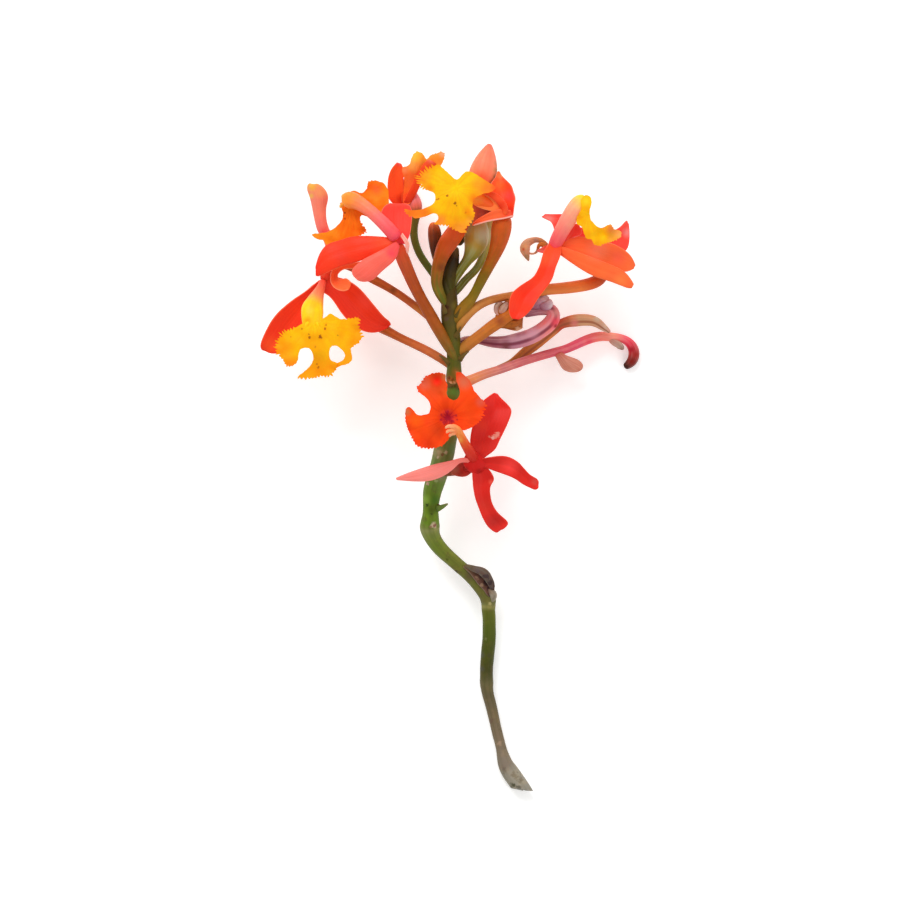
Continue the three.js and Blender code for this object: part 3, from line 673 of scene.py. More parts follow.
STALKS = {
    "lower_left": (left_rust, [(455, 354, 17, 0.5), (450, 343, 17.3, 0.85), (443.5, 332, 17.2, 0.88),
        (434.5, 321.5, 17, 0.85), (424.5, 313, 16.8, 0.82), (414, 305, 16.4, 0.8), (403.5, 297.3, 16, 0.8),
        (393, 290.3, 15.6, 0.82), (382.5, 284.2, 15.2, 0.85), (371, 278, 14.8, 0.95), (358, 269, 14.4, 1.1),
        (345, 263, 14, 1.2), (334, 264, 14.4, 1.2), (327, 271, 15.4, 1.15), (323.5, 281, 16.2, 0.9)]),
    "upper_left": (rust_to_olive, [(457, 362, 17.2, 0.5), (451.5, 352, 17.8, 0.95), (445, 341, 18.4, 1.15),
        (437, 327, 18.8, 1.25), (429.5, 313.5, 19.3, 1.25), (421.5, 299.5, 20.2, 1.2), (414, 285, 21.4, 1.25),
        (407.5, 270, 23, 1.35), (402, 257, 25, 1.4), (398, 245, 27.2, 1.15)]),
    "top": (olive_stalk, [(451, 300, 18.6, 0.5), (441, 285, 18, 0.75), (430.5, 270, 17.2, 0.78),
        (420, 255, 16.8, 0.78), (414.3, 239, 16.4, 0.8), (413.8, 224, 16.6, 0.9), (415.6, 213, 16.9, 1.2),
        (415.2, 205, 17, 1.5), (412, 197, 16.8, 1.35), (409, 190, 16.2, 0.85)]),
    "crown": (crown_rust, [(454, 323, 18, 0.8), (460, 313, 18.9, 1.25), (466.5, 305, 19.6, 1.3),
        (472, 298, 20.2, 1.05), (477, 289, 21.2, 1), (482, 279, 22.2, 1.1), (488, 268, 23.4, 1.15),
        (493, 258, 24.4, 1.3), (497, 248, 25.4, 1.6), (500, 237, 26.8, 1.95), (501.5, 227, 28.2, 2.1),
        (503, 217, 29.2, 1.7)]),
    "right": (tan_stalk, [(455, 335, 17.4, 0.6), (461, 323, 18.4, 0.95), (470, 312, 19, 1),
        (482, 303.5, 18.8, 0.9), (496, 298.5, 17.6, 0.85), (511, 296, 15.8, 0.9), (528, 293, 14.4, 1.05),
        (545, 289.5, 13.6, 1.15), (562, 288, 12.4, 1.2), (578, 286, 11.2, 1.25), (592, 283, 10.4, 1.3),
        (602, 277, 10, 1.3), (602, 266, 10, 1.2), (590, 258, 11, 1.1), (575, 252, 13.4, 1.1),
        (562, 248, 16, 1)]),
    "front": (crimson_stalk, [(441, 474, 10.6, 0.6), (451, 472, 12.2, 0.85), (461, 470.5, 13.6, 1),
        (469, 468, 14.8, 1.1), (474, 463, 16, 1.1)]),
}
for place, (skin, points) in STALKS.items():
    grown(stalk(place + "_stalk", points, bumps=0.02), skin, place + "_flower_pedicel")

bud_skin = stalk_skin("orchid_bud_grown_salmon", [(0, "5E661E"), (0.13, "6A6A1E"), (0.22, "8A5C18"),
    (0.3, "A84C0C"), (0.42, "CC4C14"), (0.54, "DC4C1E"), (0.66, "F07040"), (0.84, "FA8868"), (1, "F07058")],
    streaks=0.25, streak_colour="DC4A28", tints_and_painted_light=[(481, 181, 2.6, "F05A2C"), (497.5, 164, 1, "C07850"),
        (497.4, 171, 1.15, "A0703C"), (496.4, 178, 1.2, "847036"), (493.6, 184, 1.3, "74642C"),
        (441, 268, 1.4, "843E12"), (452, 250, 2.6, "C84E20"), (444, 232, 2.4, "E06030")])
green_bud_skin = stalk_skin("orchid_bud_grown_green", [(0, "545018"), (0.2, "6E6818"), (0.42, "88802A"),
    (0.55, "AC9A44"), (0.75, "BC9848"), (0.88, "B09A66"), (1, "8A6A3A")], streaks=0.4, streak_colour="B4B88C",
    tints_and_painted_light=[(470, 240, 1.8, "B88430"), (477, 246, 1.6, "C09A3E"), (485, 236, 2.6, "D0D0A8")])
brown_bud_skin = stalk_skin("orchid_bud_grown_brown", [(0, "4E4E18"), (0.4, "50301A"), (0.66, "7A3A1A"),
    (0.84, "B85424"), (1, "F0803C")], streaks=0.4, streak_colour="3A2428")
dark_skin = stalk_skin("orchid_bract_grown_dark", [(0, "52541C"), (0.4, "463A14"), (0.75, "3A2412"),
    (1, "7A5A34")], streaks=0.4, streak_colour="261C0C")

grown(stalk("large_bud_on_stalk", [(448, 309, 18.2, 0.5), (442, 298, 19.8, 0.95), (436.5, 286, 21.4, 1.15),
    (437, 272, 23, 1.3), (440.5, 258, 24.4, 1.5), (446.2, 245.4, 25.4, 1.95), (455, 233, 26, 1.95),
    (461.5, 222, 26.4, 1.7), (468, 210, 26, 1.6), (474, 199, 26, 1.9), (479, 187, 26.2, 2.6),
    (482.5, 173, 26.4, 2.95), (486, 159, 26.6, 2.15), (488.5, 149, 26.6, 1.05), (489.5, 144.5, 26.6, 0.3)],
    ribs=3, rib_depth=0.06, bumps=0.02), bud_skin, "large_bud")
grown(stalk("pale_bud_on_stalk", [(451, 289, 18.8, 0.5), (454.5, 279, 19.6, 0.9), (460, 270, 20.4, 1),
    (467, 260.5, 21.2, 1.1), (472, 252, 21.8, 1.8), (475, 243, 22, 2.45), (475.5, 232, 22, 2.6),
    (475, 221, 21.8, 2.1), (476, 213, 21.6, 0.8)], ribs=3, rib_depth=0.08, bumps=0.02), green_bud_skin,
    "pale_bud")
grown(stalk("dark_bud_on_stalk", [(446, 288, 19, 0.4), (441, 274, 20, 0.7), (437, 260, 20.8, 0.9),
    (435, 249, 21, 1.15), (434.5, 239, 21, 1.4), (434, 231, 21, 1.35), (433, 225.5, 21, 1),
    (432, 222.5, 21, 0.3)], ribs=3, rib_depth=0.1, bumps=0.06), brown_bud_skin, "dark_bud")
grown(stalk("stalked_bud_on_stalk", [(451, 298, 18.4, 0.5), (458.6, 288, 18.2, 0.85), (466, 279, 17.8, 0.8),
    (475, 270.5, 17.6, 0.8), (481.5, 260, 17.8, 0.85), (486, 246, 18.2, 1.05), (487, 228, 18.6, 1.6),
    (488, 208, 19, 1.7), (489, 195, 19.4, 1.2), (490, 187, 19.6, 0.3)], ribs=3, rib_depth=0.05), green_bud_skin,
    "stalked_bud")
grown(stalk("hidden_bud_on_stalk", [(455, 371, 16, 0.5), (447, 363, 15.6, 0.85), (434, 354.5, 14.9, 0.9),
    (421, 347.5, 14.1, 0.88), (407, 341, 13.2, 0.85), (393, 334, 11.7, 0.9), (380, 326.5, 9.8, 1.2),
    (370, 318, 8.4, 1.6), (362, 311, 7.4, 1.2), (359, 309, 7.2, 0.3)], ribs=3, rib_depth=0.04), left_rust,
    "hidden_bud")
grown(stalk("young_bud", [(451.5, 294, 18.9, 0.4), (449.5, 282, 19.8, 1.25), (450, 270, 20.6, 1.5),
    (453.5, 258, 21, 1.2), (457.5, 247, 21.2, 0.3)], ribs=3, rib_depth=0.1, bumps=0.04), dark_skin)
grown(stalk("youngest_bud", [(452, 300, 18.6, 0.5), (447.5, 290, 19.4, 1), (446, 279, 20, 1.1),
    (447, 268, 20.2, 0.9), (450, 258, 20.2, 0.3)], ribs=3, rib_depth=0.1, bumps=0.04, seed=2), dark_skin)
grown(stalk("young_bud_behind", [(458, 246, 19.4, 0.5), (460, 238, 19.6, 1.3), (462, 229, 19.6, 1.5),
    (464, 220, 19.6, 1.2), (466, 214, 19.6, 0.4)], ribs=3, rib_depth=0.1, bumps=0.05, seed=3), brown_bud_skin)

# Its pale patches at (532, 331) and (512, 335) are a painted highlight along the pod's upper ridge.
purple_skin = stalk_skin("orchid_pod_withered_purple", [(0, "E8C0C0"), (0.08, "C88A84"), (0.16, "8A4A50"),
    (0.3, "9E5A68"), (0.42, "C07E92"), (0.52, "E08C96"), (0.62, "F47C7C"), (0.72, "E8727A"), (0.8, "C87680"),
    (0.9, "9A6074"), (1, "74384C")], streaks=0.4, streak_colour="E4B8C0", roughness=0.5, groove_shade=(3, "701C34"),
    tints_and_painted_light=[(556, 322, 1.8, "EC4A5A"), (557, 312, 1.6, "D88A84"), (532, 331, 2, "E0A0B0"),
        (556, 326, 0.7, "A01C28"), (512, 335, 1.6, "D8A0A8"), (506, 346, 1.6, "7A3C40")])
brown_skin = stalk_skin("orchid_pod_dried_brown", [(0, "806E28"), (0.2, "C07838"), (0.4, "CC7A3C"),
    (0.52, "D8844C"), (0.58, "BC402E"), (0.66, "C46444"), (0.72, "D49E74"), (0.86, "D49A78"), (0.94, "CCA894"),
    (1, "E09080")], streaks=0.35, streak_colour="A06A48", roughness=0.6, groove_shade=(3, "9A5638"), tints_and_painted_light=[
        (575, 323, 1.4, "D87A70"), (598, 318, 1.2, "C4AC92")])
pink_skin = stalk_skin("orchid_stalk_withered_pink", [(0, "D87844"), (0.12, "D48252"), (0.22, "C06C6A"),
    (0.38, "D0565F"), (0.52, "E0506A"), (0.62, "F47468"), (0.7, "FF9880"), (0.76, "F85868"), (0.8, "E42444"),
    (0.85, "B81428"), (0.9, "90180E"), (0.95, "5A1C0E"), (1, "38140C")], streaks=0.28, streak_colour="F8A8A4",
    tints_and_painted_light=[(560, 356, 1, "D83848"), (590, 342, 1.2, "E8485C"), (520, 368, 1, "D03A4C"),
        (605, 334, 1.2, "F88A78"), (633, 349, 1, "A80E20"), (637, 354, 1.3, "A02018"),
        (633, 361, 1.4, "84180E"), (626, 366.5, 1.4, "38140A")])
curled_skin = stalk_skin("orchid_flower_withered_tan", [(0, "98702A"), (0.12, "C0702C"), (0.3, "C0661E"),
    (0.45, "B05A1C"), (0.55, "9A5A24"), (0.66, "C08458"), (0.76, "E0A884"), (0.9, "E8AC84"), (1, "A88C68")],
    streaks=0.3, streak_colour="8E5424", roughness=0.55, blotches=(0.9, 0.5, "B0683C"), tints_and_painted_light=[
        (525, 246, 1, "F0B078"), (527, 256, 0.8, "A8906A"), (523.5, 249, 0.5, "D85A30"),
        (536, 240, 0.8, "B08474"), (500, 321, 1.6, "984A22")])
crumpled_skin = stalk_skin("orchid_petal_withered_brown", [(0, "B06828"), (0.4, "A85C18"), (0.7, "A85820"),
    (1, "9A4E1C")], streaks=0.35, streak_colour="7E4214", roughness=0.6, blotches=(1.6, 0.55, "6E3412"))
grey_crumple_skin = stalk_skin("orchid_petal_withered_grey", [(0, "D89888"), (0.3, "C89C8C"), (0.6, "B89C8C"),
    (1, "9A7060")], streaks=0.25, streak_colour="8A5A4C", roughness=0.6, blotches=(1.1, 0.6, "7E4630"))
lilac_skin = stalk_skin("orchid_petal_withered_lilac", [(0, "A05670"), (0.4, "BC8A9C"), (0.7, "D4B8BC"),
    (1, "D4B0AC")], streaks=0.25, streak_colour="8E4E68", roughness=0.55, blotches=(1.3, 0.45, "E0CCCC"))

grown(stalk("purple_pod_tube", [(456, 342, 16.4, 0.5), (463, 339.5, 15.8, 0.6), (471, 338.5, 15, 0.65),
    (481, 339.8, 14.3, 0.85), (493, 341.3, 13.8, 1.15), (506, 341.5, 13.4, 1.35), (518, 339.5, 13.1, 1.6),
    (530, 335.5, 12.8, 1.6), (541, 329.5, 12.6, 1.5), (549.5, 322.5, 12.4, 1.5), (553.3, 315, 12.2, 1.45),
    (549.5, 309.5, 11.9, 1.35), (541, 309, 11.5, 1.35), (531, 311, 11, 1.25), (524, 314, 10.6, 0.8)], ribs=3,
    rib_depth=0.14, sides=POD_SIDES, bumps=0.09), purple_skin, "purple_pod")
grown(stalk("purple_pod_end", [(533, 308, 12, 0.5), (537, 303.5, 12.8, 1.1), (541.5, 300.5, 13.2, 1.1),
    (546, 299.8, 13.2, 0.8), (549, 300.5, 13, 0.4)], ribs=4, rib_depth=0.2, bumps=0.22, seed=4), lilac_skin)
grown(stalk("purple_pod_knob", [(540, 307, 12.6, 0.5), (544.5, 305.5, 13.4, 1), (549, 303.5, 13.4, 0.95),
    (551.5, 301, 13, 0.5)], ribs=3, rib_depth=0.2, bumps=0.2, seed=8), lilac_skin)
grown(stalk("brown_pod_tube", [(456, 388, 14.4, 0.6), (467, 382, 12.6, 0.7), (492, 371, 9.9, 0.72),
    (511, 363, 8.5, 0.8), (522, 354, 8, 1), (532, 346, 8, 1.1), (543, 337.5, 8, 1.1), (554, 328, 8.2, 1.15),
    (562, 322.5, 8.3, 1), (574, 319.5, 8.4, 1.25), (586, 318.8, 8.2, 1.2), (596, 320.5, 7.9, 1.05),
    (604, 326.5, 7.5, 0.75), (611, 332, 7.1, 0.35)], ribs=3, rib_depth=0.14, sides=POD_SIDES, bumps=0.05),
    brown_skin, "brown_pod")
grown(stalk("pink_stalk_tube", [(455, 387, 15.4, 0.8), (462, 384, 16, 1.15), (472, 379.5, 16.2, 1),
    (485, 374, 15.4, 0.92), (500, 369.5, 14.2, 0.86), (514, 364.5, 12.6, 0.86), (527, 360, 11, 0.86),
    (540, 356, 9.6, 0.86), (554, 352, 8.2, 0.86), (567, 348.5, 6.8, 0.88), (580, 342.5, 5.6, 0.95),
    (591, 338, 4.8, 0.98), (601, 335.8, 4, 0.96), (611, 336.3, 3.2, 0.9), (621, 337.3, 2.6, 0.8),
    (629, 341, 2, 0.9), (634, 347.5, 1.7, 1.05), (635, 355, 1.4, 1.12), (632, 362, 1.2, 1), (625, 367, 1, 0.6)],
    ribs=2, rib_depth=0.06), pink_skin, "pink_stalk")
grown(stalk("curled_stalk_tube", [(455, 360, 16.2, 0.6), (463, 349, 16.9, 1.1), (474, 340, 17.3, 1.05),
    (486, 331, 17.6, 1.1), (498, 322.5, 17.8, 1.2), (511, 314, 18, 1.1), (525, 303, 18.4, 0.8),
    (536, 290, 18, 0.6), (545, 277, 16.4, 0.5), (550, 263, 14.2, 0.5), (550, 251, 13, 0.5),
    (544.5, 242.5, 12.8, 0.45), (538.5, 239.6, 12.8, 0.5), (532.5, 240, 12.8, 0.62), (527.2, 242.8, 13, 0.85),
    (525, 247.5, 13.2, 1), (525.8, 252.6, 13.4, 0.8), (527.6, 257.4, 13.5, 0.45), (528.8, 261, 13.6, 0.12)],
    ribs=2, rib_depth=0.12, bumps=0.07), curled_skin, "curled_stalk")
for name, skin, ribs, bumps, seed, points in [
    ("withered_petal_1", crumpled_skin, 3, 0.22, 7, [(497, 319, 17.2, 0.6), (500.5, 312.5, 17.4, 1),
        (504, 307, 17.4, 0.95), (507.5, 302.5, 17.2, 0.6), (509, 300, 16.8, 0.3)]),
    ("withered_petal_2", grey_crumple_skin, 3, 0.24, 6, [(499.5, 315, 17.6, 0.45), (496.8, 311.5, 17.8, 0.62),
        (496.6, 307.5, 17.8, 0.66), (499, 304, 17.8, 0.6), (503, 302.6, 17.6, 0.3)]),
    ("withered_petal_3", grey_crumple_skin, 3, 0.2, 9, [(499.5, 313, 18.2, 0.35), (502.5, 309.5, 18.5, 0.66),
        (505, 305.6, 18.5, 0.62), (507.5, 302.6, 18.1, 0.3)]),
    ("withered_petal_4", crumpled_skin, 3, 0.2, 2, [(497, 325.5, 16.9, 0.4), (504, 323, 17.3, 0.8),
        (511, 323.5, 17.2, 0.9), (517.5, 322.5, 17, 0.7), (522, 318.5, 16.8, 0.35)]),
]:
    grown(stalk(name, points, ribs=ribs, rib_depth=0.16, bumps=bumps, seed=seed), skin)
grown(blade("withered_petal_5", [(493, 329, 496, 316, 16.6, 17), (502, 328.4, 503, 309, 16.8, 17.3),
    (510, 330, 510.5, 308, 16.7, 17.1), (517, 331, 517, 310, 16.6, 16.9),
    (522.8, 328.5, 523.4, 314.5, 16.6, 16.7)], cup=-0.04, ripple=0.22, columns=10),
    tepal_skin("orchid_petal_withered_tan", "B4702C", "A65A1C", "B8703A", "C88C60", vein_dark=0.6, spots=[
        (515, 324, 1, "8E4A1C"), (506, 313, 0.8, "94501E"), (518, 330, 0.8, "D09A74"),
        (499, 321, 0.6, "8A5A24")]))
grown(stalk("curled_end", [(546, 246, 13, 0.6), (541.5, 244, 13.2, 0.55), (538.6, 246, 13.4, 0.36),
    (538.2, 249.4, 13.5, 0.32), (536, 252.4, 13.5, 0.24), (532.6, 253.6, 13.5, 0.2), (528.5, 252.8, 13.5, 0.2)],
    ribs=3, rib_depth=0.1, bumps=0.03, seed=3), curled_skin)
grown(stalk("pink_stalk_scrap", [(610, 339, 3.4, 0.4), (615, 341.5, 3.4, 0.7), (619.5, 344, 3.2, 0.75),
    (622.5, 347, 3, 0.65), (623, 349.5, 2.8, 0.3)], ribs=3, rib_depth=0.16, bumps=0.08, seed=2),
    grey_crumple_skin)

# ---------------------------------------------------------------------------------------------
# Tepals, as (skin, cup, ripple, plan). A plan's rows run from foot to tip, each with the squares
# of its left and right ends and one height, or one for each end.
# ---------------------------------------------------------------------------------------------
red_tepal = tepal_skin("orchid_tepal_grown_red", "D8301A", "F23A1A", "EC2C16", "FA7048", tints_and_painted_light=[
    (270, 345, 3, "F04E1E"), (365, 301, 3, "F64632")])
# Its patches at (597, 250) and (602, 273) are painted light, lifting the shade that the right flower's lip and
# column cast.
orange_tepal = tepal_skin("orchid_tepal_grown_orange", "FC5830", "FE6A34", "FC7038", "FC9068", vein_dark=0.1,
    tints_and_painted_light=[(620, 281, 2.2, "FF7E3C"), (602, 273, 2.2, "FF6E34"), (597, 250, 3.4, "FF8058"),
        (618, 258, 2.4, "FF6440")])
coral_tepal = tepal_skin("orchid_tepal_grown_coral", "F03848", "F8463A", "FA5646", "FA8470", tints_and_painted_light=[
    (571, 241, 1.4, "FA6A3C"), (540, 250, 1.4, "EC7468"), (549, 218, 1.8, "E87870"), (628, 232, 1.5, "E4807C")])
pale_coral_tepal = tepal_skin("orchid_tepal_grown_light_coral", "F44A50", "F86656", "FA7460", "FC9C88", tints_and_painted_light=[
    (392, 254, 1.6, "F44450")])
bright_tepal = tepal_skin("orchid_tepal_grown_flame", "F45A30", "F83C1C", "F0301A", "FA7048", vein_dark=0.1,
    tints_and_painted_light=[(340, 255, 2.6, "E83C28"), (329, 249, 1.8, "E03C24"), (545, 258, 2.4, "F6562E"),
        (528, 296, 3.4, "F02A0C")])
vermilion_tepal = tepal_skin("orchid_tepal_grown_vermilion", "D8240C", "FF5E28", "FC5428", "FA7A58",
    vein_dark=0.08, tints_and_painted_light=[(403, 199, 1.8, "C41808"), (398.6, 163, 1, "E85050")])
ember_tepal = tepal_skin("orchid_tepal_grown_ember", "C8240C", "F04C1E", "EC5A34", "F0683C", tints_and_painted_light=[
    (431, 160, 1.2, "F07858")])
crown_tepal = tepal_skin("orchid_tepal_grown_flame_orange", "F04020", "FA4A22", "FC6A34", "FAA080", tints_and_painted_light=[
    (510, 197, 2, "EC4038"), (511, 212, 1.6, "E42818"), (499, 186, 1.8, "FC6828"), (500, 176, 1.2, "F88048"),
    (501, 207, 1.6, "E83410"), (492, 192, 1.4, "F84E18")])
# Its colours are brightened as painted light, lifting the shadow that the crown flower's lip casts on this
# sepal.
crown_orange = tepal_skin("orchid_tepal_grown_apricot", "FC5E28", "FF7C3A", "FF8E42", "FFA468", vein_dark=0.06)
crown_lower = tepal_skin("orchid_tepal_grown_apricot_edge", "F04830", "FF6A36", "FC5E38", "FC7C54",
    vein_dark=0.08)
crimson_fold = tepal_skin("orchid_tepal_grown_crimson", "D87048", "BC4C34", "98281C", "C05038")
scarlet_tepal = tepal_skin("orchid_tepal_grown_scarlet", "BE1612", "DA261C", "E42C22", "EC5C48", spots=[
    (493.5, 437, 0.62, "E48C78"), (498, 434.5, 0.5, "E49684"), (492.6, 437.8, 0.3, "ECB0A0"),
    (489.5, 436.5, 0.26, "DC7868")], tints_and_painted_light=[(482, 425, 2, "DC3018"), (490, 412, 2.8, "CC1E14"),
        (484, 449, 2, "E02A1C"), (476, 463, 1.6, "B01410"), (510, 466, 2.6, "F23E38"),
        (535, 482, 1.1, "DC463C"), (494, 522, 3, "B8221C"), (486, 506, 2.4, "CE2C1E"),
        (491, 482, 0.8, "EC5040")])
heart_skin = tepal_skin("orchid_heart_grown_crimson", "D4241C", "CE1814", "CC1E16", "D82A1E", tints_and_painted_light=[
    (466, 469, 0.9, "A4140E"), (479, 471, 0.8, "A8160F")])
pink_tepal = tepal_skin("orchid_tepal_grown_pink", "F87468", "FC8A80", "FC968C", "F06A64")
folded_pink = tepal_skin("orchid_tepal_grown_dusky", "C82A20", "B43A2C", "A85844", "C86A54", vein_dark=0.3,
    tints_and_painted_light=[(467, 469, 2, "C4241C"), (455, 470, 1.4, "A8604A")])
rose_to_yellow = tepal_skin("orchid_tepal_grown_rose_yellow", "E8402E", "F88074", "F4A45C", "F0A860", tints_and_painted_light=[
    (326, 272, 2.8, "E83C28"), (330, 256, 1.8, "EC4C38"), (320, 193, 1.8, "F69C64"), (312, 187, 1.3, "F0B440"),
    (324, 232, 1.6, "EE5050"), (311, 196, 0.9, "ECB448")])
pale_edge = tepal_skin("orchid_tepal_grown_pale", "F8A090", "FAA898", "FAC0B0", "FAB8A8")

